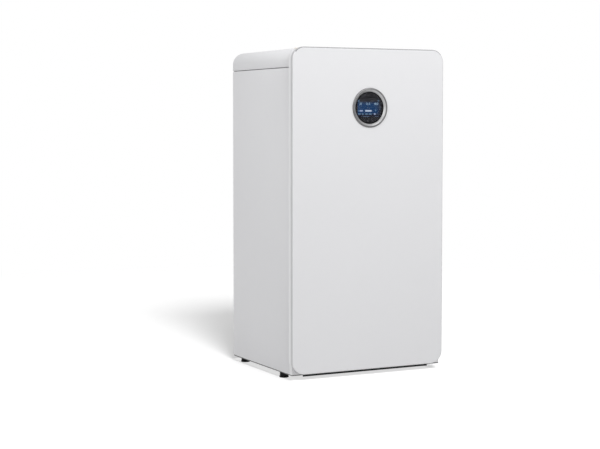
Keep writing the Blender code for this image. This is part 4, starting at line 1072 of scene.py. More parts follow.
def makeFoot(node):
    _, high, middle = boxOf(node)
    place = (middle.x, middle.y, 0.0)
    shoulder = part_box("base_tray")[0].z - 0.0003
    shape = bmesh.new()
    body = foot["body"]
    pad = [(foot["pad"] + wide, rise) for wide, rise in foot["padRim"]]
    addTurned(shape, pad, place, steps=40, finish=1)
    column = [(body * 0.94, 0.0056), (body, 0.0064), (body, shoulder - 0.0012), (body * 0.93, shoulder)]
    addTurned(shape, column, place, steps=foot["steps"], form=flute)
    count = int((high.z - shoulder) / foot["pitch"])
    stem = [(foot["stem"], shoulder - 0.001)]
    stem += threadPoints(foot["stem"], foot["thread"], shoulder, high.z, count)[:-1]
    stem.append((foot["stem"] - 0.0008, high.z))
    addTurned(shape, stem, place, steps=20, finish=2)
    names = ["maskEdge", "maskEdge", "zincBolt"]
    finishPiece(node.replace("foot_", "levelFoot_"), shape, names, node, node, 40)


for node in ("foot_front_left", "foot_front_right", "foot_rear_left", "foot_rear_right"):
    makeFoot(node)
print("feet made")


# Connections on top: numbered plate, threaded couplings with union nuts, cable gland

plate = {
    "hex": 0.0372, "bore": 0.0141, "thread": 0.0172, "ridge": 0.0009, "pitch": 0.0018, "nutTurn": 0.26,
    "hexShare": 0.36, "threadShare": 0.24, "number": 0.014, "screwIn": 0.012,
    "screwFront": 0.014, "screwRise": 0.022, "glandHex": 0.0222, "glandBore": 0.0062,
    "glandHexShare": 0.26, "grip": 1.05, "gripFrom": 0.011, "neck": (0.0061, 0.0090), "numberAhead": 0.012,
    "gland": ((0.0106, 0.30), (0.0118, 0.34), (0.0118, 0.72), (0.0102, 0.88), (0.0082, 1.0), (0.0064, 1.0),
              (0.0064, 0.30)),
}
couplings = (("flow_coupling", "redPlastic"), ("return_coupling", "bluePlastic"),
             ("brine_in_coupling", "bluePlastic"), ("brine_out_coupling", "redPlastic"))


def makeCouplings():
    bore, wide = plate["bore"], plate["thread"]
    for number, (node, tone) in enumerate(couplings, start=1):
        low, high, middle = boxOf(node)
        place, tall = (middle.x, middle.y, low.z), high.z - low.z
        start, end = tall * plate["hexShare"], tall * (plate["hexShare"] + plate["threadShare"])
        shape = bmesh.new()
        addHex(shape, plate["hex"], 0.0, start, place, bore=bore)
        count = int(tall * plate["threadShare"] / plate["pitch"] * 2)
        thread = [(bore, start)] + threadPoints(wide, plate["ridge"], start, end, count) + [(bore, end)]
        addTurned(shape, thread, place, steps=40, loop=True)
        addHex(shape, plate["hex"] - 0.002, end, tall, place, bore=bore, turn=plate["nutTurn"])
        collar = [(bore + 0.0002, -0.0006), (wide + 0.0012, -0.0006), (wide + 0.0012, 0.0004),
                  (bore + 0.0002, 0.0004)]
        addTurned(shape, collar, place, steps=40, finish=1, loop=True)
        finishPiece(node.replace("_coupling", "Union"), shape, ["brass", tone], node, sharp=36)
        spot = (middle.x, low.y - plate["numberAhead"], low.z - 0.0001)
        makeNumber(f"portNumber{number}", str(number), plate["number"], spot, "blackPlastic",
                   turn=(0, 0, 180), thick=0.00012)


def gripped(reach, i):
    # five steps to a grip, three of them raised
    return reach * plate["grip"] if reach > plate["gripFrom"] and i % 5 < 3 else reach


def makeGland():
    low, high, middle = boxOf("power_cable_gland")
    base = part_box("connection_plate")[1].z + 0.0003
    place, tall = (middle.x, middle.y, base), high.z - base
    shape = bmesh.new()
    addHex(shape, plate["glandHex"], 0.0, tall * plate["glandHexShare"], place, bore=plate["glandBore"])
    cap = [(reach, tall * share) for reach, share in plate["gland"]]
    addTurned(shape, cap, place, steps=60, loop=True, form=gripped)
    seal = [(0.0063, tall * 0.6), (0.0072, tall), (0.0062, tall - 0.0002), (0.0060, tall * 0.6)]
    addTurned(shape, seal, place, steps=40, finish=1, loop=True)
    (inner, outer), deep = plate["neck"], low.z - base
    neck = [(inner, 0.001), (outer, 0.001), (outer, deep), (inner, deep)]
    addTurned(shape, neck, place, steps=40, loop=True)
    finishPiece("cableGland", shape, ["blackPlastic", "rubber"], "power_cable_gland",
                sharp=36)


def makePlateScrews():
    low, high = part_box("connection_plate")
    shape = bmesh.new()
    for x in (low.x + plate["screwIn"], high.x - plate["screwIn"]):
        addScrewHead(shape, (x, low.y + plate["screwFront"], high.z - 0.0002), upward)
        rear = (x, high.y - backPanel["screwSunk"], low.z + plate["screwRise"])
        addScrewHead(shape, rear, (0, 1, 0))
    finishPiece("plateScrews", shape, ["zincBolt", "rubber"])


makeCouplings()
makeGland()
makePlateScrews()
print("connections made")


# Compressor: welded shell on a foot plate, with its terminal cover and rubber mounts

compressor = {
    "plate": 0.090, "plateRound": 0.018, "plateTall": 0.004, "radius": 0.082, "dome": 0.036, "seam": 0.0022,
    "lap": 0.012, "bead": 0.0020, "bolts": 0.075, "suctionRise": 0.240, "suction": 0.0115,
    "discharge": 0.0080, "dischargeOffset": 0.040, "stub": 0.022, "sightTurn": -62, "sightRise": 0.085,
    "serviceRise": 0.30, "sightHex": (0.030, 0.0, 0.009), "entryHex": (0.020, 0.006),
    "sight": ((0.0095, 0.0085), (0.0095, 0.0098), (0.0080, 0.0103)),
    "service": ((0.0042, 0.0), (0.0042, 0.012), (0.0060, 0.0122), (0.0060, 0.0225), (0.0050, 0.0235)),
    "entry": ((0.0088, 0.0058), (0.0088, 0.012), (0.0070, 0.0150), (0.0048, 0.0150), (0.0048, 0.010)),
    "mountLip": 0.0042,
}


def makeCompressor():
    low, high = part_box("compressor")
    half = compressor["plate"]
    x, y = low.x + half, low.y + half
    bottom, top = low.z + 0.002, high.z - compressor["stub"] / 2
    radius, dome, seam, lap = (compressor[key] for key in ("radius", "dome", "seam", "lap"))
    shape = bmesh.new()
    domed = [(radius * sin(pi * i / 28) + seam * i / 14, dome * (1 - cos(pi * i / 28))) for i in range(1, 15)]
    upper, lower = top - dome - lap, bottom + dome + lap
    profile = [(0.0006, top)] + [(reach, top - drop) for reach, drop in domed]
    profile += [(radius + seam, upper), (radius, upper - 0.001), (radius, lower + 0.001),
                (radius + seam, lower)]
    profile += [(reach, bottom + drop) for reach, drop in reversed(domed[2:])] + [(0.02, bottom + 0.0005)]
    addTurned(shape, profile, (x, y, 0.0), steps=64)
    for z in (upper - 0.001, lower + 0.001):
        addBead(shape, radius + 0.0008, z, compressor["bead"], (x, y, 0.0), steps=64)
    # foot plate with rounded corners and bolts
    rows, tall = [], compressor["plateTall"]
    for inset, rise in ((0.0008, 0.0), (0.0, 0.0008), (0.0, tall - 0.0008), (0.0008, tall)):
        outline = roundedOutline(x - half + inset, x + half - inset, y - half + inset, y + half - inset,
                                 compressor["plateRound"] - inset, 8)
        rows.append([(u, v, low.z + rise) for u, v in outline])
    addRows(shape, rows)
    for u, v in fourCorners:
        addBolt(shape, (x + u * compressor["bolts"], y + v * compressor["bolts"], low.z + tall), finish=1)
    # suction and discharge stubs, brazed in
    spot, reach = (x, y, bottom + compressor["suctionRise"]), radius + compressor["stub"]
    addPeg(shape, compressor["suction"], radius - 0.003, reach, 0.0005, spot, (1, 0, 0), 28, 2)
    addBead(shape, compressor["suction"] + 0.0004, radius - 0.0004, 0.0020, spot, (1, 0, 0), 4, 28)
    spot = (x + compressor["dischargeOffset"], y, 0.0)
    addPeg(shape, compressor["discharge"], top - dome, high.z, 0.0004, spot, upward, 24, 2)
    addBead(shape, compressor["discharge"] + 0.0004, top - 0.0035, 0.0018, spot, upward, 4, 24)
    # oil sight glass and service port
    turn = radians(compressor["sightTurn"])
    out = Vector((cos(turn), sin(turn), 0.0))
    spot = Vector((x, y, bottom + compressor["sightRise"])) + out * (radius - 0.002)
    addHex(shape, *compressor["sightHex"], spot, out, 3)
    addTurned(shape, compressor["sight"], spot, out, 28, 5)
    spot = (x - radius + 0.002, y, bottom + compressor["serviceRise"])
    addTurned(shape, compressor["service"], spot, (-1, 0, 0), 20, 3)
    names = ["enamel", "zincBolt", "copperTube", "brass", "brazing", "maskEdge"]
    finishPiece("compressorShell", shape, names, "compressor")


terminal = {
    "lid": (0.0006, 0.0096), "caseStart": 0.010, "caseInset": 0.001, "ribSide": 0.012, "ribEnd": 0.014,
    "ribHalf": 0.0012, "ribDeep": 0.004,
}


def makeTerminalCover():
    low, high, middle = boxOf("compressor_terminal_cover")
    near, far = [low.y + deep for deep in terminal["lid"]]
    inset, start = terminal["caseInset"], low.y + terminal["caseStart"]
    shape = bmesh.new()
    addBox(shape, (low.x + inset, start, low.z + inset), (high.x - inset, high.y, high.z - inset), 0.004)
    addBox(shape, (low.x, near, low.z), (high.x, far, high.z), 0.0038, steps=3)
    addScrewHead(shape, (middle.x, near + 0.0002, middle.z), forward, 1, 2)
    half, tall = middle.x - low.x - terminal["ribSide"], terminal["ribHalf"]
    for z in (low.z + terminal["ribEnd"], high.z - terminal["ribEnd"]):
        addBlock(shape, (middle.x, low.y, z), (half, 0.0, terminal["ribDeep"], -tall, tall), 0.0006)
    spot = (middle.x, middle.y, low.z + 0.0015)
    addCableEntry(shape, spot, *compressor["entryHex"], compressor["entry"], 0, 28)
    finishPiece("terminalCover", shape, ["blackPlastic", "zincBolt", "rubber"],
                "compressor_terminal_cover")


def makeMount(number):
    node = f"compressor_mount_{number}"
    low, high, middle = boxOf(node)
    radius, tall, lip = high.x - middle.x, high.z - low.z, compressor["mountLip"]
    waist = [(radius - lip * sin(pi * i / 8), lip + (tall - 2 * lip) * i / 8) for i in range(1, 8)]
    profile = [(radius - 0.001, 0.0), (radius, 0.001), (radius, lip)] + waist
    profile += [(radius, tall - lip), (radius, tall - 0.001), (radius - 0.001, tall)]
    shape = bmesh.new()
    addTurned(shape, profile, (middle.x, middle.y, low.z), steps=40)
    finishPiece(f"rubberMount{number}", shape, "rubber", node)


makeCompressor()
makeTerminalCover()
for number in range(1, 5):
    makeMount(number)
print("compressor made")


# Plate heat exchangers: a brazed stack with four ports and a foot bracket

exchanger = {
    "half": 0.060, "tall": 0.300, "deep": 0.090, "corner": 0.024, "endPlate": 0.005, "plates": 24,
    "step": 0.0016, "valley": 0.0003, "port": 0.0156, "portX": 0.0252, "portDrop": 0.030,
    "portLength": 0.020, "bracket": 0.003, "bracketHalf": 0.040, "bracketTall": 0.100, "chevrons": 11,
    "chevronHalf": 0.046, "chevronRise": 0.024, "chevronPitch": 0.0130, "chevronStart": 0.072,
    "chevronRadius": 0.0014, "studX": 0.042, "studRise": 0.150, "stud": (0.004, 0.0, 0.0148, 0.0008),
    "flange": ((0.006, -0.001), (0.006, 0.0016), (0.005, 0.0024)), "footDeep": 0.040, "boltX": 0.028,
    "boltAhead": 0.026, "bolt": 0.010,
}


def makeExchanger(node, name):
    low, high, middle = boxOf(node)
    x, rear = middle.x, high.y - exchanger["bracket"]
    front, floor = rear - exchanger["deep"], high.z - exchanger["tall"]
    half, end, port = exchanger["half"], exchanger["endPlate"], exchanger["port"]

    def ring(inset, y):
        outline = roundedOutline(x - half + inset, x + half - inset, floor + inset, high.z - inset,
                                 exchanger["corner"] - inset, 7)
        return [(u, y, v) for u, v in outline]

    path = [(0.0012, front), (0.0, front + 0.0012), (0.0, front + end)]
    pitch = (exchanger["deep"] - 2 * end) / exchanger["plates"]
    for number in range(exchanger["plates"]):
        for key, share in (("step", 0.15), ("step", 0.45), ("valley", 0.62), ("valley", 0.98)):
            path.append((exchanger[key], front + end + (number + share) * pitch))
    path += [(0.0, rear - end), (0.0, rear - 0.0012), (0.0012, rear)]
    shape = bmesh.new()
    tones = [0, 0] + [1, 1, 0, 0] * exchanger["plates"] + [0, 0, 0, 0]
    addRows(shape, [ring(*point) for point in path], tones)
    # pressed chevrons on the cover plate
    reach = exchanger["chevronHalf"]
    for number in range(exchanger["chevrons"]):
        z = floor + exchanger["chevronStart"] + number * exchanger["chevronPitch"]
        peak = z + exchanger["chevronRise"]
        route = [(x + across, front, rise)
                 for across, rise in ((-reach, z), (-0.002, peak), (0.002, peak), (reach, z))]
        addTube(shape, route, exchanger["chevronRadius"], 8)
    flange = [(port + wide, rise) for wide, rise in exchanger["flange"]]
    for side in (-1, 1):
        for z in (floor + exchanger["portDrop"], high.z - exchanger["portDrop"]):
            spot = (x + side * exchanger["portX"], front, z)
            addTurned(shape, flange, spot, forward, 36)
            addPeg(shape, port, 0.0, exchanger["portLength"], 0.0006, spot, forward, 36)
            addBead(shape, port + 0.0003, 0.0026, 0.0012, spot, forward, 2, 36)
        spot = (x + side * exchanger["boltX"], rear - exchanger["boltAhead"], low.z + 0.0030)
        addBolt(shape, spot, exchanger["bolt"], 4)
        spot = (x + side * exchanger["studX"], front, floor + exchanger["studRise"])
        addPeg(shape, *exchanger["stud"], spot, forward, 16, 4)
    left, right = x - exchanger["bracketHalf"], x + exchanger["bracketHalf"]
    addBox(shape, (left, rear - 0.002, low.z), (right, high.y, floor + exchanger["bracketTall"]), 0.0012, 3)
    ahead = rear - exchanger["footDeep"]
    addBox(shape, (left, ahead, low.z), (right, rear + 0.001, low.z + 0.003), 0.0012, 3)
    names = ["stainless", "copperTube", "brazing", "zincSheet", "zincBolt"]
    finishPiece(name, shape, names, node)


makeExchanger("evaporator", "evaporatorStack")
makeExchanger("condenser", "condenserStack")
print("heat exchangers made")


# Pipes: bent copper with swaged sockets and rings of braze

pipes = {"socket": 0.0012, "socketLength": 0.012, "braze": 0.0010, "sides": 28}
# radius and bend of each size of tube
tubes = {"hot": (0.0065, 0.018), "cold": (0.010, 0.028), "thin": (0.005, 0.018), "water": (0.014, 0.026)}
pipeRuns = {
    "discharge_pipe": ("hot", (-0.110, -0.048, 0.4584), (-0.110, -0.048, 0.5445), (-0.110, 0.100, 0.5445),
                       (0.0048, 0.100, 0.5445), (0.0048, 0.100, 0.3545), (0.0048, 0.1457, 0.3545)),
    "suction_pipe": ("cold", (0.1488, 0.1457, 0.3545), (0.1488, 0.102, 0.3545), (0.1488, 0.102, 0.4245),
                     (0.1488, -0.048, 0.4245), (-0.015, -0.048, 0.4245), (-0.015, -0.048, 0.2871),
                     (-0.0457, -0.048, 0.2871)),
    "liquid_pipe": ("thin", (0.0048, 0.1457, 0.1145), (0.0048, -0.060, 0.1145), (0.0547, -0.060, 0.1145)),
    "injection_pipe": ("thin", (0.1873, -0.0257, 0.1145), (0.1873, 0.060, 0.1145), (0.1488, 0.060, 0.1145),
                       (0.1488, 0.1457, 0.1145)),
    "brine_in_pipe": ("water", (0.135, 0.225, 1.1394), (0.135, 0.225, 0.985), (0.1992, 0.060, 0.985),
                      (0.1992, 0.060, 0.9403)),
    "brine_feed_pipe": ("water", (0.1992, 0.060, 0.7597), (0.1992, 0.060, 0.3545), (0.1992, 0.1457, 0.3545)),
    "brine_out_pipe": ("water", (0.1992, 0.1457, 0.1145), (0.1992, 0.105, 0.1145), (0.2552, 0.105, 0.1145),
                       (0.2552, 0.105, 1.0432), (0.207, 0.225, 1.0432), (0.207, 0.225, 1.1394)),
    "return_pipe": ("water", (0.045, 0.225, 1.1394), (0.045, 0.225, 0.985), (0.0552, 0.060, 0.985),
                    (0.0552, 0.060, 0.9403)),
    "condenser_feed_pipe": ("water", (0.0552, 0.060, 0.7597), (0.0552, 0.060, 0.1145),
                            (0.0552, 0.1457, 0.1145)),
    "condenser_out_pipe": ("water", (0.0552, 0.1457, 0.3545), (0.0552, 0.105, 0.3545), (0.0552, 0.105, 0.610),
                           (-0.021, 0.150, 0.610), (-0.021, 0.150, 0.6697)),
    "flow_pipe": ("water", (-0.021, 0.150, 0.9803), (-0.021, 0.150, 1.040), (-0.030, 0.225, 1.040),
                  (-0.030, 0.225, 1.1394)),
}


def addSocket(shape, end, inward, radius):
    # a widened end with a ring of braze at its inner lip
    axis = (Vector(inward) - Vector(end)).normalized()
    wide, length = radius + pipes["socket"], pipes["socketLength"]
    profile = [(radius - 0.0005, 0.0), (wide - 0.0003, 0.0002), (wide, 0.0006), (wide, length - 0.001),
               (radius + 0.0001, length)]
    addTurned(shape, profile, end, axis, pipes["sides"])
    addBead(shape, radius + 0.0002, length + 0.0002, pipes["braze"], end, axis, 1, pipes["sides"])


def makePipe(node, tube, *corners):
    radius, bend = tubes[tube]
    shape = bmesh.new()
    addTube(shape, roundRoute(corners, bend, 12), radius, pipes["sides"])
    addSocket(shape, corners[0], corners[1], radius)
    addSocket(shape, corners[-1], corners[-2], radius)
    words = node.split("_")
    name = words[0] + "".join(word.capitalize() for word in words[1:])
    finishPiece(name, shape, ["copperTube", "brazing"], node)


drier = {"neck": 0.0075, "neckLength": 0.0085, "cone": 0.020, "braze": 0.0090}


def makeDrier():
    low, high, middle = boxOf("filter_drier")
    radius, length, neck, cone = high.z - middle.z, high.x - low.x, drier["neck"], drier["cone"]
    start = drier["neckLength"] + 0.001
    half = [(neck - 0.0006, 0.0), (neck, 0.0006), (neck, drier["neckLength"])]
    for turn in [pi / 16 * i for i in range(9)]:
        half.append((radius - (radius - neck - 0.001) * (1 - sin(turn)), start + cone * (1 - cos(turn))))
    profile = half + [(reach, length - rise) for reach, rise in reversed(half)]
    shape = bmesh.new()
    place = (low.x, middle.y, middle.z)
    addTurned(shape, profile, place, (1, 0, 0))
    for rise in (start + cone, length - start - cone):
        addBead(shape, radius - 0.0006, rise, 0.0011, place, (1, 0, 0))
    for rise in (drier["braze"], length - drier["braze"]):
        addBead(shape, neck + 0.0006, rise, 0.0015, place, (1, 0, 0), 1, 28)
    finishPiece("filterDrier", shape, ["drierPaint", "brazing"], "filter_drier")


valve = {
    "level": 0.1145, "hex": (0.0236, -0.0115, 0.0060), "inlet": 0.0070, "coilRings": (0.056, 0.066, 0.076),
    "plug": (0.008, -0.003, 0.004, 0.056, 0.080),
    "neck": ((0.0120, 0.0050), (0.0120, 0.0220), (0.0096, 0.0232), (0.0096, 0.0465)),
    "coil": ((-0.002, 0.0462), (-0.0004, 0.0474), (0.0, 0.050), (0.0, 0.0825), (-0.0006, 0.0848),
             (-0.0030, 0.0860)),
}


def makeValve():
    low, high, middle = boxOf("expansion_valve")
    coil = high.x - middle.x
    x, y, z = middle.x, low.y + coil, valve["level"]
    place = (x, y, z)
    shape = bmesh.new()
    addHex(shape, *valve["hex"], place)
    addTurned(shape, valve["neck"], place, steps=36)
    addPeg(shape, valve["inlet"], 0.0, high.y - y, 0.0005, place, (0, 1, 0))
    addBead(shape, valve["inlet"] + 0.0002, high.y - y - 0.004, 0.0010, place, (0, 1, 0), 2, 24)
    addTurned(shape, [(coil + wide, rise) for wide, rise in valve["coil"]], place, finish=1)
    for rise in valve["coilRings"]:
        addBead(shape, coil - 0.0005, rise, 0.0008, place, finish=1)
    addBlock(shape, (x, low.y, z), valve["plug"], 0.0015, 1)
    finishPiece("expansionValve", shape, ["brass", "blackPlastic", "brazing"], "expansion_valve")


for node, run in pipeRuns.items():
    makePipe(node, *run)
makeDrier()
makeValve()
print("pipes, drier and valve made")


# Circulators: cast housing between union nuts, ribbed motor, square head with a dial

pump = {
    "volute": 0.055, "half": 0.025, "soft": 0.014, "port": 0.020, "nut": 0.0467, "nutTall": 0.022,
    "reach": 0.090, "y": 0.060, "motor": 0.044, "motorLength": 0.068, "rib": 0.0028, "ribs": 40,
    "head": 0.046, "headDepth": 0.030,
    "flangeBolts": 6, "boltCircle": 0.0505, "dialTall": 0.0045, "dialDrop": 0.010, "dialCircle": 0.0215,
    "dialNumber": 0.0056, "screwX": 0.0365, "pointer": (0.0011, 0.0, 0.0025, -0.009, 0.0005),
    "window": (0.018, -0.0003, 0.003, 0.018, 0.031), "boss": (0.0062, -0.006, 0.0014, 0.0006),
    "lip": 0.002, "headBack": 0.008, "headStep": 0.012, "entryHex": (0.018, 0.005), "entryBack": 0.022,
    "bolt": ((0.0042, 0.0), (0.0042, 0.0038), (0.0036, 0.0044), (0.0021, 0.0044), (0.0021, 0.0020)),
    "dial": ((0.0165, -0.0005), (0.0165, 0.0008), (0.0158, 0.0012), (0.0130, 0.0012), (0.0126, 0.0038),
             (0.0118, 0.0043)),
    "entry": ((0.0078, 0.0045), (0.0078, 0.010), (0.0062, 0.0125), (0.0042, 0.0125), (0.0042, 0.008)),
}


def boltSpots(x, y, z):
    for number in range(pump["flangeBolts"]):
        turn = radians(30 + 60 * number)
        yield x + pump["boltCircle"] * cos(turn), y, z + pump["boltCircle"] * sin(turn)


def makePumpHousing(prefix, x, y, z):
    place = (x, y, z)
    half, volute, soft, port = (pump[key] for key in ("half", "volute", "soft", "port"))
    reach, wide = pump["reach"], volute + pump["lip"]
    shape = bmesh.new()
    profile = [(0.001, -half)] + arcPoints((volute - soft, soft - half), soft, -90, 0, 8)
    profile += [(volute, half - 0.009), (wide, half - 0.0075), (wide, half - 0.0005), (wide - 0.0005, half)]
    addTurned(shape, profile, place, forward, 64)
    start = reach - pump["nutTall"]
    flare = [(port + 0.010, volute * 0.55), (port + 0.004, volute * 0.86), (port, volute * 1.08),
             (port, reach - 0.0004), (port - 0.004, reach)]
    collar = [(port + 0.0040, start - 0.004), (port + 0.0052, start - 0.003), (port + 0.0052, start)]
    for side in (-1, 1):
        axis = (0, 0, side)
        addTurned(shape, flare, place, axis, 40)
        addHex(shape, pump["nut"], start, reach - 0.0004, place, axis, 1)
        addTurned(shape, collar, place, axis, 40, 1)
    for spot in boltSpots(x, y - half + 0.0015, z):
        addPeg(shape, *pump["boss"], spot, (0, 1, 0), 20)
    finishPiece(prefix + "Volute", shape, ["castIron", "brass"], prefix + "_pump_housing")


def ribbed(reach, i):
    return reach - (pump["rib"] if i % 6 >= 3 else 0.0)


def makePumpMotor(prefix, x, y, z):
    face = y - pump["half"] - 0.0003
    place = (x, face, z)
    long, side, motor = [pump[key] for key in ("motorLength", "head", "motor")]
    wide = pump["volute"] + pump["lip"]
    shape = bmesh.new()
    flange = [(0.040, 0.0), (wide - 0.0004, 0.0), (wide, 0.0006), (wide, 0.0074), (wide - 0.0006, 0.0080),
              (0.040, 0.0080)]
    addTurned(shape, flange, place, forward, 64)
    for spot in boltSpots(x, face - 0.0079, z):
        addTurned(shape, pump["bolt"], spot, forward, 20, 1)
    ribs = [(motor * 0.93, 0.0078), (motor, 0.0090), (motor, long - 0.010), (motor * 0.93, long - 0.0086)]
    addTurned(shape, ribs, place, forward, pump["ribs"] * 6, form=ribbed, turn=rightward)
    # square head in two steps
    near, far = face - long - pump["headDepth"], face - long + pump["headBack"]
    front, small, step = near + pump["dialTall"], side - pump["lip"], near + pump["headStep"]
    addBox(shape, (x - side, step, z - side), (x + side, far, z + side), 0.008, 2, 4)
    addBox(shape, (x - small, front, z - small), (x + small, step + 0.0005, z + small), 0.0035, 3, 3)
    for u, v in fourCorners:
        addScrewHead(shape, (x + u * pump["screwX"], front + 0.0002, z + v * pump["screwX"]), forward, 1, 3)
    # dial with its pointer, and a dark window above it
    level = z - pump["dialDrop"]
    addTurned(shape, pump["dial"], (x, front, level), forward, 40, 2)
    addBlock(shape, (x, near, z), pump["pointer"], 0.0002, 4)
    addBlock(shape, (x, front, z), pump["window"], 0.0012, 5)
    spot = (x, near + pump["entryBack"], z - side + 0.0008)
    addCableEntry(shape, spot, *pump["entryHex"], pump["entry"], 3)
    names = ["castIron", "zincBolt", "greyPlastic", "blackPlastic", "palePlastic", "maskEdge"]
    finishPiece(prefix + "Motor", shape, names, prefix + "_pump_motor")
    for number, degrees in enumerate((-120, -60, 0, 60, 120), start=1):
        turn, reach = radians(degrees), pump["dialCircle"]
        spot = (x + reach * sin(turn), front - 0.0001, level + reach * cos(turn))
        makeNumber(f"{prefix}Dial{number}", str(number), pump["dialNumber"], spot, "palePlastic")


for prefix in ("brine", "heating"):
    middle = boxOf(prefix + "_pump_housing")[2]
    makePumpHousing(prefix, middle.x, pump["y"], middle.z)
    makePumpMotor(prefix, middle.x, pump["y"], middle.z)
print("circulators made")


# Immersion heater: welded vessel with a screwed-in element and its cap

heater = {
    "radius": 0.045, "dome": 0.016, "port": 0.020, "boss": 0.0415, "bossLength": 0.024, "cap": 0.028,
    "capDepth": 0.030, "capScrew": 0.020, "strapDrop": 0.070, "strapHalf": 0.009, "strap": 0.0014,
    "lug": (0.006, -0.001, 0.016, -0.009, 0.009), "seat": 0.0225, "button": (0.0062, 0.0, 0.0026, 0.0008),
    "capStep": 0.008, "capInset": 0.0015, "entryHex": (0.019, 0.0055),
    "entry": ((0.0082, 0.005), (0.0082, 0.011), (0.0066, 0.0135), (0.0044, 0.0135), (0.0044, 0.009)),
}


def makeHeater():
    low, high, middle = boxOf("immersion_heater")
    radius, dome, port, half = (heater[key] for key in ("radius", "dome", "port", "cap"))
    x, y = middle.x, high.y - radius
    bottom, top = low.z + port, high.z - port
    shape = bmesh.new()
    domed = [(port + (radius - port) * sin(pi * i / 18), dome * (1 - cos(pi * i / 18))) for i in range(1, 10)]
    profile = [(port - 0.003, low.z), (port, low.z + 0.0006), (port, bottom - 0.001)]
    profile += [(reach, bottom + rise) for reach, rise in domed]
    profile += [(reach, top - rise) for reach, rise in reversed(domed)]
    profile += [(port, top + 0.001), (port, high.z - 0.0006), (port - 0.003, high.z)]
    centre = (x, y, 0.0)
    addTurned(shape, profile, centre, steps=56)
    for z in (bottom + dome + 0.002, top - dome - 0.002):
        addBead(shape, radius - 0.0004, z, 0.0012, centre, steps=56)
    for z in (bottom + 0.0004, top - 0.0004):
        addBead(shape, port + 0.0008, z, 0.0016, centre, finish=1, steps=40)
    # element's boss and cap
    z = bottom + (top - bottom) / 4
    place = (x, y, z)
    face = y - radius - heater["bossLength"]
    front = face - heater["capDepth"]
    addPeg(shape, heater["seat"], radius - 0.006, radius + 0.009, 0.001, place, forward, 40)
    addBead(shape, heater["seat"] + 0.0003, radius - 0.0016, 0.0020, place, forward, 1, 40)
    addHex(shape, heater["boss"], radius + 0.008, radius + heater["bossLength"], place, forward, 2)
    small, step = half - heater["capInset"], front + heater["capStep"]
    addBox(shape, (x - half, step, z - half), (x + half, face + 0.0015, z + half), 0.005, 3, 3)
    addBox(shape, (x - small, front, z - small), (x + small, step + 0.0005, z + small), 0.004, 3, 3)
    for offset in (-heater["capScrew"], heater["capScrew"]):
        addScrewHead(shape, (x + offset, front + 0.0003, z + offset), forward, 4, 5)
    addPeg(shape, *heater["button"], (x, front + 0.0002, z), forward, 28, 6)
    spot = (x, (face + front) / 2, z - half + 0.0008)
    addCableEntry(shape, spot, *heater["entryHex"], heater["entry"], 3)
    # steel strap that holds the vessel
    near, far = radius - 0.0005, radius + heater["strap"]
    tall, level = heater["strapHalf"], top - heater["strapDrop"]
    strap = [(near, -tall), (far, -tall), (far, tall), (near, tall)]
    addTurned(shape, strap, (x, y, level), upward, 56, 7, True)
    addBlock(shape, (x, y + radius, level), heater["lug"], 0.001, 7)
    names = ["stainless", "brazing", "brass", "blackPlastic", "zincBolt", "rubber", "redPlastic", "zincSheet"]
    finishPiece("heaterVessel", shape, names, "immersion_heater")


makeHeater()
print("heater made")


# Electrical box: cover screws and louvres, breaker, selector knob and reset button

controls = {
    "screwInset": 0.012, "louvre": 0.034, "louvrePitch": 0.011, "louvreRows": 8, "louvreX": (0.075, 0.033),
    "louvreStart": 0.045, "louvreRise": 0.0034, "louvreDrop": 0.0062, "louvreLip": 0.0012,
    "louvreTaper": 0.003, "poleGap": 0.0009, "poleX": 0.018, "poleBreak": 0.0085, "poleEnd": 0.0012,
    "poleScrewIn": 0.0065, "poleNumber": 0.0052, "dialNumber": 0.0070,
    "knob": 0.016, "shaft": 0.005, "grips": 18, "grip": 0.0007, "dial": 0.0235, "frame": 0.006,
    "buttonRing": ((0.0068, -0.0004), (0.0068, 0.0016), (0.0074, 0.0022), (0.0088, 0.0022), (0.0095, 0.0014),
                   (0.0095, -0.0004)),
    "poleScrew": ((0.0034, 0.0), (0.0034, 0.0005), (0.0030, 0.0007)),
    "poleSlot": (0.0026, -0.00055, 0.0, -0.0003, 0.0003),
    "pointer": (0.0010, -0.0002, 0.0012, 0.0030, 0.0116),
    "skirtMark": (0.0010, -0.0046, -0.0030, 0.0128, 0.0159),
    "knobPlate": ((0.0056, -0.0003), (0.0056, 0.00016), (0.0300, 0.00016), (0.0302, -0.0003)),
}


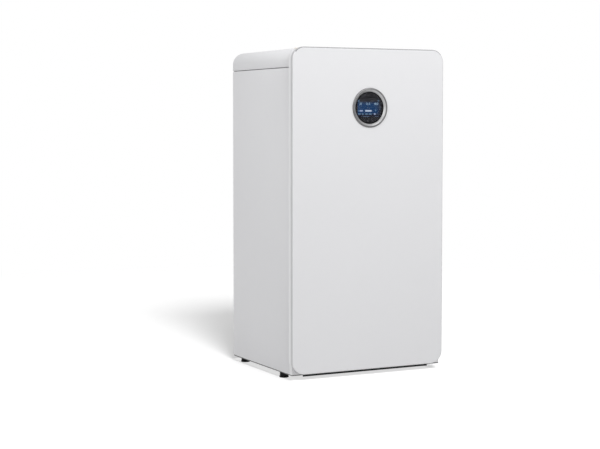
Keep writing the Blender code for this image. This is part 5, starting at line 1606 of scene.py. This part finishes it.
def makeCoverDetails():
    low, high, middle = boxOf("electrical_cover")
    shape = bmesh.new()
    inset = controls["screwInset"]
    for x in (low.x + inset, high.x - inset):
        for z in (low.z + inset, middle.z, high.z - inset):
            addScrewHead(shape, (x, low.y + 0.0001, z), forward, 1, 2)
    half = controls["louvre"] / 2
    for x in [high.x - offset for offset in controls["louvreX"]]:
        for number in range(controls["louvreRows"]):
            z = low.z + controls["louvreStart"] + number * controls["louvrePitch"]
            rows = []
            for share in [step / 5 for step in range(6)]:
                y = low.y + 0.0004 - controls["louvreRise"] * sin(pi / 2 * share)
                side = half - controls["louvreTaper"] * share
                tall = controls["louvreDrop"] * (1 - share) + controls["louvreLip"]
                outline = roundedOutline(x - side, x + side, z, z + tall, 0.0005, 3)
                rows.append([(u, y, v) for u, v in outline])
            addRows(shape, rows)
    # raised frame round the breaker's window
    near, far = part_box("breaker")
    outer = boxOutline(near, far, -controls["frame"], 0.004, 6)
    inner = boxOutline(near, far, -0.0006, 0.001, 6)
    rows = [[(u, low.y + rise, v) for u, v in outline]
            for outline, rise in ((outer, 0.0004), (outer, -0.0012), (inner, -0.0012), (inner, 0.0004))]
    addRows(shape, rows, 3, loop=True)
    # ring round the reset button, and plate under the knob
    middle = boxOf("reset_button")[2]
    spot = (middle.x, low.y, middle.z)
    addTurned(shape, controls["buttonRing"], spot, forward, 40, 3, True)
    middle = boxOf("mode_switch")[2]
    spot = (middle.x, low.y, middle.z)
    addTurned(shape, controls["knobPlate"], spot, forward, 56, 4, True)
    names = ["sidePaint", "zincBolt", "rubber", "blackPlastic", "palePlastic"]
    finishPiece("coverDetails", shape, names)
    dial = controls["dial"]
    for number, turn in enumerate((0.0, pi / 4, pi / 2)):
        place = (spot[0] + dial * sin(turn), low.y - 0.0002, spot[2] + dial * cos(turn))
        makeNumber(f"selectorNumber{number}", str(number), controls["dialNumber"], place, "blackPlastic")


def makeBreakerDetails():
    low, high, middle = boxOf("breaker")
    gap, poleX = controls["poleGap"] / 2, controls["poleX"]
    start, end, inset = [controls[key] for key in ("poleBreak", "poleEnd", "poleScrewIn")]
    shape = bmesh.new()
    for x in (middle.x - poleX / 2, middle.x + poleX / 2):
        for bottom, top in ((low.z + end, middle.z - start), (middle.z + start, high.z - end)):
            addBox(shape, (x - gap, low.y - 0.00012, bottom), (x + gap, low.y + 0.001, top), 0)
    for x in (middle.x - poleX, middle.x, middle.x + poleX):
        for z in (high.z - inset, low.z + inset):
            addTurned(shape, controls["poleScrew"], (x, low.y + 0.0003, z), forward, 24, 1)
            addBlock(shape, (x, low.y, z), controls["poleSlot"], 0)
    finishPiece("breakerDetails", shape, ["maskEdge", "zincBolt"])
    for name, text, side in (("breakerUp", "1", 1), ("breakerDown", "0", -1)):
        place = (low.x + 0.0042, low.y - 0.00006, middle.z + side * 0.0082)
        makeNumber(name, text, controls["poleNumber"], place, "blackPlastic")


def makeKnob():
    low, _, middle = boxOf("mode_switch")
    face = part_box("electrical_cover")[0].y
    x, z = middle.x, middle.z
    tall, radius = face - low.y, controls["knob"]

    def grip(reach, i):
        # hollows down the side of the narrower upper part
        deep = controls["grip"] * max(0.0, cos(i * pi / 4))
        return reach - deep if 0.85 * radius < reach < 0.95 * radius else reach

    shape = bmesh.new()
    shares = ((0.985, 0.0006), (1.0, 0.0012), (1.0, 0.0042), (0.93, 0.0048), (0.90, tall - 0.003),
              (0.87, tall - 0.0012), (0.82, tall - 0.0003), (0.77, tall))
    profile = [(radius * share, rise) for share, rise in shares]
    addTurned(shape, profile, (x, face, z), forward, controls["grips"] * 8, form=grip, turn=rightward)
    shaft = [(controls["shaft"], -tall + 0.0004), (controls["shaft"], 0.0008)]
    addTurned(shape, shaft, (x, face, z), forward, 28)
    # pointer on the face and mark on the skirt
    addBlock(shape, (x, low.y, z), controls["pointer"], 0, 1)
    addBlock(shape, (x, face, z), controls["skirtMark"], 0, 1)
    finishPiece("selectorKnob", shape, ["blackPlastic", "palePlastic"], "mode_switch",
                "mode_switch", 38)


def makeResetButton():
    low, high, middle = boxOf("reset_button")
    radius, long = high.x - middle.x, high.y - low.y
    shape = bmesh.new()
    profile = [(0.0006, 0.0009), (radius * 0.55, 0.0005), (radius * 0.86, 0.0), (radius * 0.97, 0.0004),
               (radius, 0.0012), (radius, long - 0.0005), (radius - 0.0005, long)]
    addTurned(shape, profile, (middle.x, low.y, middle.z), (0, 1, 0), 40)
    finishPiece("resetCap", shape, "redPlastic", "reset_button", "reset_button")


makeCoverDetails()
makeBreakerDetails()
makeKnob()
makeResetButton()
print("controls made")
